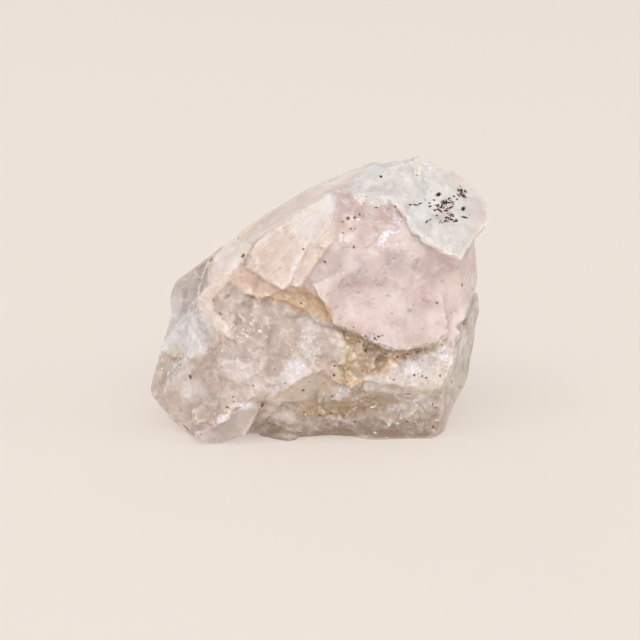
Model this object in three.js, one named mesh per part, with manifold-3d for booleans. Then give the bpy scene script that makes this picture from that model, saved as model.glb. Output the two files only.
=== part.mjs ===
// A rough morganite crystal: a pink beryl mass with cleaved steps and a white cap,
// grown together with milky quartz below it. Millimetres, +Z up, front towards -Y. The
// forms are laid out from a point under the front, and the finished stone is then moved
// so that its origin is the middle of its base.
import * as THREE from "three";
import { mergeVertices } from "three/addons/utils/BufferGeometryUtils.js";
import { ConvexGeometry } from "three/addons/geometries/ConvexGeometry.js";
import Module from "manifold-3d";

const wasm = await Module();
wasm.setup();

const LONGEST_EDGE = 1.5; // on the finished surface
const SHORTEST_EDGE = 0.7; // shorter ones are drawn together where the faces allow it
const KEPT_DIRECTION = 0.985; // cosine of the most that a face may turn when they are
const EVENING_ROUNDS = 3;
const GROUND_DEPTH = 30; // the block below the base that is cut away to leave it flat
const BASE_FADE = 2; // height above the base over which the unevenness sets in
const CUT_REACH = 12; // how far a cleft's cutter stands out of the stone
const SCOOP_FACETS = 5; // how finely a conchoidal scoop is rounded

// The main crystals, each by the corners of its flat-faced form, [x, y, z].
const BLOCKS = {
  pinkBeryl: [
    [1.4, -8, 11.2], [4.9, -8.4, 9.5], [8.2, -8.4, 8.9], [11.5, -7.4, 9.6], [13.2, -5.6, 11],
    [14.8, -1.5, 13.3], [14.6, -2, 17.4], [12.6, -5.6, 16.4], [9, -7.6, 15.6], [2.6, -7.9, 15.2],
    [3, -6.2, 20.6], [7.4, -6.4, 20], [12, -5.6, 17.8],
    [15.2, 0, 20], [14.7, 1, 21.9], [9.5, 1, 25], [6, 2, 24.3], [3.9, 2.5, 23.3],
    [1.2, -4.4, 22.5], [-1.8, 1.5, 21.7], [-7.7, 0.5, 17.8], [-6.4, -5, 17.6],
    [-5.6, -7.2, 14], [-1.3, -7.5, 14.4], [4, 7, 23.4],
    [14.7, 7.6, 9], [14.2, 8.6, 17], [9, 13.4, 8], [7, 11.6, 20.8],
    [-1, 14, 8], [-2, 11.6, 18.6], [-8, 10, 11],
  ],
  quartzLeft: [
    [-11.1, -6, 13.2], [-8.3, -6.8, 15], [-5.7, -7, 13.4], [-1.3, -6.6, 13.1], [1.8, -7.4, 9.9],
    [2.5, -7.6, 8.8], [0.1, -8.8, 6.9], [-4.8, -9.4, 4.8], [-6.8, -8.4, 0.8], [-9.3, -9.7, 0],
    [-12.1, -6, 0], [-14.7, -4, 2], [-15.8, -3, 3.6], [-14.9, -1, 6.5], [-14, 0, 10],
    [-9, -8.9, 8], [-12.6, -6.6, 5],
    [-14.6, 5, 8], [-13.2, 8, 1], [-9, 11.5, 0], [-3, 13.6, 3], [-9, 12, 10],
    [2, 9, 0], [2, 12, 9],
  ],
  quartzRight: [
    [-5.3, -7.6, 3.4], [-4.9, -6.6, 0], [3.6, -7.2, 0], [10.6, -7, 0], [12.2, -4.6, 0],
    [13.7, -1.2, 2], [14.8, 0, 4.4], [15.4, 1, 7.7], [15.4, 1.5, 11.8],
    [12.6, -6.3, 8.5], [12.6, -6.2, 7.1], [11.4, -6.9, 4.4], [4.9, -7.5, 6.2], [0.1, -7.4, 6.2],
    [12, 9, 0], [14.4, 9, 9], [4, 13.8, 0], [3, 14.2, 8], [-5, 12, 0],
  ],
  greyShoulder: [
    [-14.3, 1, 11.2], [-13.8, 1, 13.4], [-12.4, 2, 14.3], [-10, 1, 15.9], [-9.8, -1.6, 14],
    [-12.4, -2, 10.8], [-14, 0, 9.9], [-11, -3, 8.4], [-4, 2, 12], [-4, 0, 8],
    [-13.8, 7, 11], [-9.5, 10, 14.4], [-5, 10.4, 16.6], [-12, 9, 5],
  ],
  creamShoulder: [
    [-10, -3, 16.4], [-9, -2.5, 17.4], [-7.7, -2.5, 17.8], [-6.4, -4.5, 17.6], [-7, -6.2, 16.5],
    [-8.3, -7, 15.5], [-9.4, -6.9, 14.4], [-10.1, -6, 14.7], [-11.1, -6.4, 13.4],
    [-8.3, -8.4, 10.3], [-6.5, -7.6, 13.3], [-9, 2, 13], [-4, 2, 16], [-5, -1, 10],
  ],
  ochreBand: [
    [-5.2, -6.9, 13.4], [-3, -7, 13.9], [-1.2, -7.1, 14.2], [0.5, -7.5, 13.4], [1.3, -7.8, 11.2],
    [-0.4, -7.2, 11.2], [-1.9, -6.9, 12.3], [-3, -4, 12.8], [0, -4, 11.6],
  ],
  foot: [
    [-5.8, -6.4, 0], [-5.4, -6.8, 1.2], [-3.8, -7.8, 1], [-1.6, -7.3, 0.7], [-1.9, -7.7, 0],
    [-3.1, -8, 0], [-4, -3, 2],
  ],
};

// Layers that stand proud of the blocks. An outline lies on the layer's outer face, seen
// from outside as [right, up] from `at`. That face looks towards an azimuth (0 is the
// front, 90 the right) and is tilted up from the level, both in degrees.
const LAYERS = {
  whiteCap: {
    at: [9.7, -4.3, 21.4], azimuth: 22, tilt: 40, thickness: 3.4,
    outline: [
      [-6.6, 2.4], [-6.4, 0.8], [-4.9, 0.3], [-3.1, 0.4], [-2.2, -0.8], [-2, -2.3],
      [-1.3, -3.5], [0.4, -5.1], [1.8, -5.8], [2.8, -4.8], [4.1, -3.8], [5.7, -2.6],
      [6.4, -0.8], [5.8, 1.3], [4.4, 2.9], [2.6, 4.2], [1.3, 5.2], [0.1, 4.9],
      [-2.7, 4.3], [-5.1, 3.6],
    ],
  },
  peachSlab: {
    at: [-4, -6.8, 17], azimuth: -14, tilt: 25, thickness: 2.5,
    outline: [
      [-2.4, 0.4], [-2.6, -0.9], [-1, -1.9], [0.9, -2.9], [1.6, -2.4], [3.1, 1.6],
      [0.9, 3.4], [-0.4, 2.7],
    ],
  },
  peachUpperSlab: {
    at: [0.2, -5.9, 20.1], azimuth: -7, tilt: 29, thickness: 2.5,
    outline: [
      [-3, 0.2], [-0.9, -1.9], [0.4, -2.4], [1.3, -1.3], [1.3, -0.3], [0.8, 1.1],
      [0.8, 3], [-1.1, 1.6],
    ],
  },
  peachRightSlab: {
    at: [-0.9, -7.4, 16.4], azimuth: -7, tilt: 21, thickness: 2,
    outline: [[0, 2], [-1.8, -1.8], [-0.4, -2.1], [0.5, 0.1], [1.4, 1.6]],
  },
  peachLip: {
    at: [-5.6, -7.2, 14.8], azimuth: -2, tilt: 29, thickness: 2.2,
    outline: [
      [-2.7, 0.7], [-2, -0.2], [-1.1, -0.8], [0, -1.3], [1.4, -1.2], [2.6, -0.8],
      [2.9, -0.4], [0.5, 0.6], [-1.2, 1.6],
    ],
  },
  pinkLedge: {
    at: [5.6, -8.2, 11.6], azimuth: 8, tilt: 10, thickness: 3,
    outline: [
      [-5.7, 3.3], [-5.3, 2.2], [-4.5, 0.8], [-4.3, -0.2], [-2.9, -0.9], [-1.6, -1.4],
      [-0.8, -2.1], [0.8, -2.7], [2.5, -2.8], [4.3, -2.5], [5.9, -1.9], [6.4, -1.5],
      [5.9, 1.8], [2.6, 4], [-2.9, 4.6],
    ],
  },
  sugaryShelf: {
    at: [8.9, -7.8, 6.6], azimuth: 7, tilt: 13, thickness: 3,
    outline: [
      [-4.4, -0.1], [-2.9, -1.1], [-0.7, -1.8], [1.2, -2.1], [2.3, -1.8], [3.7, 0.9],
      [3.5, 2.2], [1.6, 1.9], [-1.3, 1.1], [-3.1, 0.6],
    ],
  },
  footFlake: {
    at: [-9.6, -9.2, 2.5], azimuth: -28, tilt: 7, thickness: 2,
    outline: [[-2.7, -0.8], [-0.4, -1], [1.4, -0.2], [2.3, 0.9], [0.5, 1.1], [-1.2, 0.2]],
  },
  rightStep: {
    at: [14.7, 6.6, 14.4], azimuth: 95, tilt: 3, thickness: 2.5,
    outline: [[-3.6, -3], [-1.2, -4.6], [2.6, -4.2], [3.4, 2.8], [0.6, 4.8], [-2.8, 3]],
  },
  rightFoot: {
    at: [14.7, 3.6, 5.6], azimuth: 93, tilt: -6, thickness: 3,
    outline: [[-5, -2.4], [-1.4, -3.8], [3, -3.2], [4.6, 0.6], [2.6, 3.6], [-1, 2.4], [-4.2, 2.8]],
  },
  backShelf: {
    at: [2.6, 13.3, 5], azimuth: 178, tilt: 3, thickness: 3,
    outline: [[-5.4, -2.4], [-2, -3.8], [2.4, -3.2], [5.4, -1.4], [4.8, 1.8], [1.2, 1], [-2.6, 2.6], [-4.6, 1.4]],
  },
  leftBackPlate: {
    at: [-9.6, 9, 10.4], azimuth: 222, tilt: 24, thickness: 3,
    outline: [[-4.6, -2.6], [-0.8, -4.4], [3.2, -2.4], [4.4, 1.4], [0.6, 3.8], [-3, 2.2]],
  },
  crestPlate: {
    at: [-2.4, 6.2, 20.2], azimuth: 214, tilt: 58, thickness: 2.5,
    outline: [[-3.8, -1.8], [-1, -3.2], [3, -2.6], [3.6, 0.4], [1.4, 2.2], [-2.4, 1.6]],
  },
  backStep: {
    at: [2.4, 13.7, 12], azimuth: 184, tilt: 9, thickness: 2.5,
    outline: [[-6.2, -3.2], [-0.6, -4.2], [4.4, -2.8], [5.2, 1.6], [1.2, 5.2], [-5.4, 4]],
  },
  backCap: {
    at: [6, 8, 21.2], azimuth: 168, tilt: 48, thickness: 2.5,
    outline: [[-6, -2.4], [-2, -3.2], [3.4, -2], [5.8, 0.8], [3.2, 3.6], [-3.4, 3.2]],
  },
};

// Clefts cut into the blocks below the layers, with outlines given in the same way.
const CLEFTS = {
  stainedRecess: {
    at: [6.4, -7.8, 8.9], azimuth: 3, tilt: 22, depth: 1.5,
    outline: [
      [-5.2, 2.4], [-1.6, 1.2], [2, 0.4], [5.4, 1], [4.6, 0], [0.4, -0.8],
      [-1.8, -2], [-4.4, -0.7],
    ],
  },
  leftStep: {
    at: [-6.6, -6.8, 18.6], azimuth: -35, tilt: 45, depth: 0.7,
    outline: [[-3.6, 1.2], [-0.6, -0.2], [0.6, 2.4], [-2.4, 3.4]],
  },
};

// Conchoidal scoops, where the stone broke in shallow curved hollows: each is an
// ellipsoid of size [right, up, in], sunk to a depth below the face at its place.
const SCOOPS = [
  { at: [-13.4, -4, 8.2], azimuth: -58, tilt: 12, size: [5, 7, 6], depth: 0.5 },
  { at: [-11, -8.1, 4.4], azimuth: -30, tilt: 18, size: [11, 7, 8], depth: 0.5 },
  { at: [5.4, -7.4, 3.4], azimuth: 0, tilt: -4, size: [13, 3.4, 6], depth: 0.7 },
  { at: [-6.9, -8.6, 1.2], azimuth: 25, tilt: -25, size: [5, 5, 5], depth: 0.7 },
  { at: [1.2, -7, 0], azimuth: 0, tilt: -40, size: [4.4, 3, 3], depth: 0.8 },
  { at: [14, -1.6, 5], azimuth: 72, tilt: -6, size: [10, 8, 8], depth: 0.5 },
  { at: [14.9, 1.4, 17], azimuth: 88, tilt: 5, size: [9, 10, 8], depth: 0.4 },
  { at: [14, 10, 5], azimuth: 110, tilt: -5, size: [9, 9, 8], depth: 0.8 },
  { at: [10.6, 12.4, 14], azimuth: 140, tilt: 6, size: [9, 14, 9], depth: 0.6 },
  { at: [5, 14.2, 4.4], azimuth: 178, tilt: -5, size: [13, 8, 8], depth: 0.9 },
  { at: [-4.4, 13.4, 6.6], azimuth: 195, tilt: 12, size: [8, 10, 8], depth: 0.8 },
  { at: [-5.8, 11, 14.6], azimuth: 215, tilt: 25, size: [12, 8, 8], depth: 0.6 },
  { at: [-14.2, 4.4, 6], azimuth: 262, tilt: 5, size: [9, 8, 8], depth: 0.7 },
  { at: [1, 7, 22.2], azimuth: 200, tilt: 62, size: [12, 7, 8], depth: 0.4 },
];

// The unevenness of natural faces: waves that push the surface along their own direction.
const WAVES = [
  { along: [0.8, 0.3, 0.5], length: 7.3, height: 0.16, start: 0.4 },
  { along: [-0.4, 0.2, 0.9], length: 5.9, height: 0.14, start: 2.1 },
  { along: [0.2, 0.9, -0.3], length: 6.7, height: 0.16, start: 4.0 },
  { along: [0.7, -0.5, -0.6], length: 3.4, height: 0.07, start: 1.2 },
  { along: [-0.3, 0.6, -0.7], length: 2.9, height: 0.06, start: 5.1 },
];

const degrees = THREE.MathUtils.degToRad;
const vector = (numbers) => new THREE.Vector3(...numbers);

function solid(geometry) {
  const bare = new THREE.BufferGeometry();
  const whole = geometry.index ? geometry.toNonIndexed() : geometry;
  bare.setAttribute("position", whole.getAttribute("position"));
  const merged = mergeVertices(bare, 1e-4);
  return new wasm.Manifold(
    new wasm.Mesh({
      numProp: 3,
      vertProperties: merged.attributes.position.array,
      triVerts: new Uint32Array(merged.index.array),
    }),
  );
}

function geometryOf(made) {
  const { vertProperties, triVerts } = made.getMesh();
  const geometry = new THREE.BufferGeometry();
  geometry.setAttribute("position", new THREE.BufferAttribute(vertProperties, 3));
  geometry.setIndex(new THREE.BufferAttribute(triVerts, 1));
  return geometry;
}

// A frame on a face: its local x runs right, y runs up and z points out of the stone.
function faceFrame({ at, azimuth, tilt }) {
  const turn = new THREE.Matrix4().makeRotationZ(degrees(azimuth));
  turn.multiply(new THREE.Matrix4().makeRotationX(degrees(90 - tilt)));
  return turn.setPosition(vector(at));
}

function slab(face, inwards, outwards) {
  const shape = new THREE.Shape(face.outline.map(([right, up]) => new THREE.Vector2(right, up)));
  const depth = inwards + outwards;
  const plate = new THREE.ExtrudeGeometry(shape, { depth, bevelEnabled: false });
  return solid(plate.translate(0, 0, -inwards).applyMatrix4(faceFrame(face)));
}

function scoop(face) {
  const ball = new THREE.IcosahedronGeometry(1, SCOOP_FACETS).scale(...face.size);
  return solid(ball.translate(0, 0, face.size[2] - face.depth).applyMatrix4(faceFrame(face)));
}

const block = (corners) => solid(new ConvexGeometry(corners.map(vector)));
const layer = (face) => slab(face, face.thickness, 0);
const cleft = (face) => slab(face, face.depth, CUT_REACH);
const each = (forms, make) => Object.values(forms).map(make);
const join = (stone, more) => more.reduce((left, right) => left.add(right), stone);
const cut = (stone, more) => more.reduce((left, right) => left.subtract(right), stone);

function surfaceOf(made) {
  const { vertProperties, triVerts } = made.getMesh();
  const points = Array.from({ length: vertProperties.length / 3 }, (_, i) =>
    new THREE.Vector3().fromArray(vertProperties, 3 * i),
  );
  const triangles = Array.from({ length: triVerts.length / 3 }, (_, i) => [
    ...triVerts.slice(3 * i, 3 * i + 3),
  ]);
  return { points, triangles };
}

// Splits every edge that is longer than the limit at its middle, once.
function splitLong({ points, triangles }, limit) {
  const middles = new Map();
  const middle = (a, b) => {
    if (points[a].distanceTo(points[b]) <= limit) return null;
    const key = a < b ? `${a} ${b}` : `${b} ${a}`;
    if (!middles.has(key)) {
      middles.set(key, points.push(points[a].clone().lerp(points[b], 0.5)) - 1);
    }
    return middles.get(key);
  };
  const halves = triangles.flatMap((corners) => {
    const lengths = corners.map((a, i) => points[a].distanceTo(points[corners[(i + 1) % 3]]));
    const longest = lengths.indexOf(Math.max(...lengths));
    const [a, b, c] = [0, 1, 2].map((i) => corners[(longest + i) % 3]);
    const [ab, bc, ca] = [middle(a, b), middle(b, c), middle(c, a)];
    if (ab === null) return [corners];
    const left = ca === null ? [[a, ab, c]] : [[a, ab, ca], [ab, c, ca]];
    const right = bc === null ? [[ab, b, c]] : [[ab, b, bc], [ab, bc, c]];
    return [...left, ...right];
  });
  return { points, triangles: halves };
}

// Draws the ends of short edges together, wherever the faces around keep their direction.
function drawTogether({ points, triangles }, limit) {
  const around = points.map(() => new Set());
  triangles.forEach((corners, t) => corners.forEach((p) => around[p].add(t)));
  const near = (p) => new Set([...around[p]].flatMap((t) => triangles[t]).filter((q) => q !== p));
  const direction = ([a, b, c]) =>
    THREE.Triangle.getNormal(points[a], points[b], points[c], new THREE.Vector3());
  const keepsShape = (from, to) =>
    [...around[from]]
      .filter((t) => !triangles[t].includes(to))
      .every((t) => {
        const moved = triangles[t].map((p) => (p === from ? to : p));
        return direction(moved).dot(direction(triangles[t])) > KEPT_DIRECTION;
      });
  const edges = triangles
    .flatMap(([a, b, c]) => [[a, b], [b, c], [c, a]])
    .map(([a, b]) => ({ a, b, length: points[a].distanceTo(points[b]) }))
    .filter(({ length }) => length < limit)
    .sort((one, other) => one.length - other.length);
  for (const { a, b } of edges) {
    if (!near(a).has(b)) continue;
    if ([...near(a)].filter((p) => near(b).has(p)).length !== 2) continue;
    const from = keepsShape(a, b) ? a : keepsShape(b, a) ? b : null;
    if (from === null) continue;
    const to = from === a ? b : a;
    for (const t of [...around[from]]) {
      if (triangles[t].includes(to)) {
        triangles[t].forEach((p) => around[p].delete(t));
        triangles[t] = null;
      } else {
        triangles[t] = triangles[t].map((p) => (p === from ? to : p));
        around[to].add(t);
      }
    }
    around[from].clear();
  }
  return { points, triangles: triangles.filter((corners) => corners !== null) };
}

function evened(made) {
  let surface = surfaceOf(made);
  for (let round = 0; round < EVENING_ROUNDS; round += 1) {
    surface = drawTogether(surface, SHORTEST_EDGE);
    surface = splitLong(surface, LONGEST_EDGE);
  }
  return surface;
}

function weathered({ points, triangles }) {
  const waves = WAVES.map((wave) => ({ ...wave, along: vector(wave.along).normalize() }));
  const moved = points.map((point) => {
    const shift = new THREE.Vector3();
    for (const { along, length, height, start } of waves) {
      const phase = (2 * Math.PI * point.dot(along)) / length + start;
      shift.addScaledVector(along, height * Math.sin(phase));
    }
    shift.z *= Math.min(1, point.z / BASE_FADE);
    return shift.add(point);
  });
  const geometry = new THREE.BufferGeometry().setFromPoints(moved);
  geometry.setIndex(triangles.flat());
  return solid(geometry);
}

const massed = each(BLOCKS, block).reduce((left, right) => left.add(right));
const cleaved = cut(massed, each(CLEFTS, cleft));
const layered = join(cleaved, each(LAYERS, layer));
const broken = cut(layered, SCOOPS.map(scoop));
const ground = new THREE.BoxGeometry(100, 100, GROUND_DEPTH).translate(0, 0, -GROUND_DEPTH / 2);
const rested = weathered(evened(broken.subtract(solid(ground))));

const stone = new THREE.Mesh(
  geometryOf(rested),
  new THREE.MeshStandardMaterial({ color: 0xdfcbc2, roughness: 0.35, metalness: 0 }),
);
stone.name = "morganite_crystal";
stone.geometry.computeBoundingBox();
const middle = stone.geometry.boundingBox.getCenter(new THREE.Vector3());
stone.geometry.translate(-middle.x, -middle.y, 0);
stone.geometry.computeVertexNormals();

const part = new THREE.Group();
part.add(stone);
export default part;
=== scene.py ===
# %% [markdown]
# # A rough morganite crystal
#
# The stone is pink beryl (morganite) grown together with milky quartz. The CAD frame holds
# its main forms: the pink mass, the white cap, the cleaved peach slabs and the quartz below.
# This lesson gives that form what a hand and an eye would find on the real stone: split and
# splintered faces, sugary grains, veils inside the quartz, brown stain and dark specks.

import math

import bpy
import numpy as np
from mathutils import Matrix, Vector
from mathutils.bvhtree import BVHTree
from mathutils.kdtree import KDTree


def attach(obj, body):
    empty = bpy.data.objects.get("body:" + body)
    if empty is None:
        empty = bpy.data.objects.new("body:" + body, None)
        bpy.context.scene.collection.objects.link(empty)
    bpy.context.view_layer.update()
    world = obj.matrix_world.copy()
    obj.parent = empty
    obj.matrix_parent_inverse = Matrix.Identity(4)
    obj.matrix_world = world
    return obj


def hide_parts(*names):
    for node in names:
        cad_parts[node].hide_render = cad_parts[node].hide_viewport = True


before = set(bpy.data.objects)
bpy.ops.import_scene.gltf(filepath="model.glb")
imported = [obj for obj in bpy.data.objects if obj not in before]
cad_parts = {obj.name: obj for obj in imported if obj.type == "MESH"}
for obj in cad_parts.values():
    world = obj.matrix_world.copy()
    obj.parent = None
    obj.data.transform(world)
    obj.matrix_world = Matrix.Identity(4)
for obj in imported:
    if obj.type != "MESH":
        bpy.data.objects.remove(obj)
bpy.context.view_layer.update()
cad_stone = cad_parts["morganite_crystal"]
bpy.ops.object.select_all(action="DESELECT")

# %% [markdown]
# ## The camera
#
# A small stone is pictured from a little above, with a long lens that keeps its shape true.
# The camera aims at the middle of the front. Its own right, up and forward directions are
# used again further on, because the stone's finishes are laid out in this front view.

# %% The camera
MM = 0.001
CAMERA_PITCH = math.radians(14)
CAMERA_DISTANCE = 201.3 * MM
CAMERA_AIM = Vector((0.228, -2.142, 9.55)) * MM
LENS = 120
SENSOR = 36

view_right = Vector((1, 0, 0))
view_up = Vector((0, math.sin(CAMERA_PITCH), math.cos(CAMERA_PITCH)))
view_forward = Vector((0, math.cos(CAMERA_PITCH), -math.sin(CAMERA_PITCH)))
camera_place = CAMERA_AIM - view_forward * CAMERA_DISTANCE

bpy.ops.object.camera_add(location=camera_place, rotation=(math.radians(90) - CAMERA_PITCH, 0, 0))
camera = bpy.context.object
camera.data.lens = LENS
camera.data.sensor_width = SENSOR
camera.data.clip_start = 0.01
camera.data.clip_end = 10
bpy.context.scene.camera = camera
print("camera at", [round(x, 4) for x in camera.location])

# %% [markdown]
# ## Plain studio light
#
# Milky stones look best in soft light from all round. One large lamp from the upper left
# models the faces, three wide ones fill the shadows, and small ones put sparkle on the
# grains. The colours are shown as they are, with no film curve.

# %% The lamps
WHITE = (1, 1, 1)
WARM_WHITE = (1, 0.985, 0.96)
SOFTBOXES = {
    # name: (azimuth, elevation, distance, size, power, colour), in degrees, metres and watts
    "main_softbox": (-40, 50, 1.5, 0.9, 3.0, WARM_WHITE),
    "front_fill": (5, 15, 1.2, 0.8, 5.0, WHITE),
    "right_fill": (75, 15, 1.2, 0.6, 2.0, WHITE),
    "back_fill": (200, 12, 1.3, 0.8, 1.3, WARM_WHITE),
}
GLINTS = [(-75, 25), (40, 50), (150, 40), (-30, 15), (-110, 45), (10, 70), (70, 35), (-50, 60)]
SMALL_LAMP = (0.8, 0.04, 0.13, WHITE)  # distance, size, power and colour of each glint


def lamp(name, azimuth, elevation, distance, size, power, colour):
    """A square lamp aimed at the stone. Azimuth 0 is in front of it and 90 to its right."""
    turn, lift = math.radians(azimuth), math.radians(elevation)
    towards = Vector((math.sin(turn) * math.cos(lift), -math.cos(turn) * math.cos(lift), math.sin(lift)))
    place, facing = CAMERA_AIM + towards * distance, towards.to_track_quat("Z", "Y").to_euler()
    bpy.ops.object.light_add(type="AREA", location=place, rotation=facing)
    light = bpy.context.object
    light.name = name
    light.data.size = size
    light.data.energy = power
    light.data.color = colour


bpy.context.scene.view_settings.view_transform = "Standard"
for name, settings in SOFTBOXES.items():
    lamp(name, *settings)
for number, direction in enumerate(GLINTS):
    lamp(f"glint_{number}", *direction, *SMALL_LAMP)
print("lamps:", len(SOFTBOXES) + len(GLINTS))

# %% [markdown]
# ## Shader maths as Python
#
# A finish is a network of nodes. Drawn by hand it soon becomes a tangle, so one small class
# wraps a socket: `a * b + 1` on wrapped values adds the Math nodes for it. `Finish` holds
# the nodes of a material or of the sky, and its `add` method makes any other node.

# %% A wrapped socket and a material under work
class Wired:
    """One output of a node. The signs of arithmetic add Math nodes behind it."""

    def __init__(self, tree, socket):
        self.tree = tree
        self.socket = socket

    def maths(self, operation, *values):
        """A Math node for one operation on these values."""
        node = self.tree.nodes.new("ShaderNodeMath")
        node.operation = operation
        for socket, value in zip(node.inputs, values):
            plug(self.tree, socket, value)
        return Wired(self.tree, node.outputs[0])

    def __add__(self, other):
        return self.maths("ADD", self, other)

    def __sub__(self, other):
        return self.maths("SUBTRACT", self, other)

    def __rsub__(self, other):
        return self.maths("SUBTRACT", other, self)

    def __mul__(self, other):
        return self.maths("MULTIPLY", self, other)

    __radd__ = __add__
    __rmul__ = __mul__


def plug(tree, socket, value):
    """Links a wrapped value to a socket, or sets the socket to a plain one."""
    if isinstance(value, Wired):
        tree.links.new(value.socket, socket)
    elif hasattr(socket.default_value, "__len__") and len(socket.default_value) == 4:
        socket.default_value = (*value, 1)[:4]
    else:
        socket.default_value = value


class Finish:
    """The nodes of a material or of the sky, added one by one."""

    def __init__(self, owner):
        owner.use_nodes = True
        self.owner = owner
        self.tree = owner.node_tree
        self.tree.nodes.clear()

    def add(self, kind, settings, inputs, output=0):
        """A node of a kind. Its settings are made first, and then its sockets are filled."""
        node = self.tree.nodes.new("ShaderNode" + kind)
        for setting, value in settings.items():
            setattr(node, setting, value)
        for name, value in inputs.items():
            plug(self.tree, node.inputs[name], value)
        return Wired(self.tree, node.outputs[output]) if node.outputs else None

    def mixed(self, one, other, share):
        """A colour between two colours."""
        # A Mix node's colour sockets are its seventh and eighth, and its third output.
        inputs = {0: share, 6: one, 7: other}
        return self.add("Mix", {"data_type": "RGBA"}, inputs, 2)

    def between(self, one, other, share):
        """A number between two numbers."""
        return self.add("Mix", {"data_type": "FLOAT"}, {0: share, 2: one, 3: other})

    def mark(self, name, output="Fac"):
        """What the surface remembers under a name."""
        return self.add("Attribute", {"attribute_name": name}, {}, output)

    def picks(self, place, size):
        """A chance of 0 to 1 for each of many small cells."""
        hue = self.add("TexVoronoi", {}, {"Vector": place, "Scale": 1 / size}, "Color")
        return self.add("SeparateColor", {}, {"Color": hue}, "Red")

    def step(self, value, low, high):
        """0 below low, 1 above high, and a smooth rise between them."""
        inputs = {"Value": value, "From Min": low, "From Max": high}
        return self.add("MapRange", {"interpolation_type": "SMOOTHSTEP"}, inputs)

    def noise(self, place, size, detail=2.0, rough=0.5, twist=0.0):
        """A cloudy pattern round 0.5, with blots of about this size."""
        inputs = {
            "Vector": place, "Scale": 1 / size, "Detail": detail,
            "Roughness": rough, "Distortion": twist,
        }
        return self.add("TexNoise", {"noise_dimensions": "3D"}, inputs)

    def turned(self, place, turn=(0, 0, 0), size=(1, 1, 1)):
        """Places for a pattern that is stretched along its own axes and then turned, in degrees."""
        # A Mapping node of the Texture kind turns first and scales second. Point does it the
        # other way round, and the stretch would stay level whatever the angle.
        inputs = {"Vector": place, "Rotation": tuple(math.radians(angle) for angle in turn), "Scale": size}
        return self.add("Mapping", {"vector_type": "TEXTURE"}, inputs)

    def most(self, *values):
        """The greatest of several numbers."""
        greatest = values[0]
        for value in values[1:]:
            greatest = greatest.maths("MAXIMUM", greatest, value)
        return greatest


def colour(red, green, blue):
    """A screen colour, 0 to 255, as the linear colour that a shader takes."""
    # The usual curve of a screen is straight near black and a power above it.
    return tuple(
        (part / 255 / 12.92) if part < 11 else ((part / 255 + 0.055) / 1.055) ** 2.4
        for part in (red, green, blue)
    )


print("a screen's mid grey is", round(colour(128, 128, 128)[0], 3), "to a shader")

# %% [markdown]
# ## A pale sky
#
# The sky is the softest lamp of all, bright and warm at the horizon and a little darker
# overhead. Its colour is made of nodes, as a finish is.

# %% The sky
SKY_LOW = (0.95, 0.91, 0.88)
SKY_HIGH = (0.85, 0.84, 0.83)
SKY_HIGH_FROM = 0.6  # the height of a direction, from 0 at the horizon to 1 overhead
SKY_STRENGTH = 0.74


def light_the_sky(sky):
    """A background whose colour goes from low to high."""
    finish = Finish(sky)
    direction = finish.add("TexCoord", {}, {}, "Generated")
    height = finish.add("SeparateXYZ", {}, {"Vector": direction}, "Z")
    shade = finish.mixed(SKY_LOW, SKY_HIGH, finish.step(height, 0.0, SKY_HIGH_FROM))
    light = finish.add("Background", {}, {"Color": shade, "Strength": SKY_STRENGTH})
    finish.add("OutputWorld", {}, {"Surface": light})


bpy.context.scene.world = bpy.data.worlds.new("studio_sky")
light_the_sky(bpy.context.scene.world)
print("the sky has", len(bpy.context.scene.world.node_tree.nodes), "nodes")

# %% [markdown]
# ## A pale floor
#
# The stone rests on a pale warm floor, wide enough that no edge shows. It is a light table:
# it glows a little from below, which keeps the shadow faint and lights the lower faces.

# %% The floor
FLOOR_RADIUS = 4
FLOOR_COLOUR = colour(236, 226, 217)
FLOOR_DIFFUSE = 0.5
FLOOR_GLOW = 0.53

bpy.ops.mesh.primitive_circle_add(vertices=96, radius=FLOOR_RADIUS, fill_type="NGON")
floor = bpy.context.object
floor.name = "floor"
floor_finish = Finish(bpy.data.materials.new("pale_card"))
floor_shader = floor_finish.add("BsdfPrincipled", {}, {
    "Base Color": tuple(FLOOR_DIFFUSE * part for part in FLOOR_COLOUR), "Roughness": 0.9,
    "Specular IOR Level": 0.1, "Emission Color": FLOOR_COLOUR, "Emission Strength": FLOOR_GLOW,
})
floor_finish.add("OutputMaterial", {}, {"Surface": floor_shader})
floor.data.materials.append(floor_finish.owner)
print("the floor is", 2 * FLOOR_RADIUS, "m across")

# %% [markdown]
# ## The stone's forms
#
# The finished surface starts as a copy of the frame's stone. It is worked on at a thousand
# times its size, so that one unit is one millimetre and every tool's limits suit it, and it
# is brought back at the end.

# %% A copy to work on
SAME_POINT = 0.001  # mm: corners of loose triangles that are this close are one


def select_only(thing):
    bpy.ops.object.select_all(action="DESELECT")
    thing.select_set(True)
    bpy.context.view_layer.objects.active = thing


stone = bpy.data.objects.new("rough_stone", cad_stone.data.copy())
bpy.context.collection.objects.link(stone)
stone.data.materials.clear()
select_only(stone)
stone.scale = (1 / MM,) * 3
bpy.ops.object.transform_apply(scale=True)
bpy.ops.object.mode_set(mode="EDIT")
bpy.ops.mesh.select_all(action="SELECT")
bpy.ops.mesh.remove_doubles(threshold=SAME_POINT)
bpy.ops.object.mode_set(mode="OBJECT")
print("the copy has", len(stone.data.polygons), "faces")

# %% [markdown]
# ## Areas, as seen from the front
#
# Each finish has its place on the stone. The places are drawn as outlines in the front
# view, in millimetres right of and above the camera's aim, and each goes only so deep.

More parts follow.
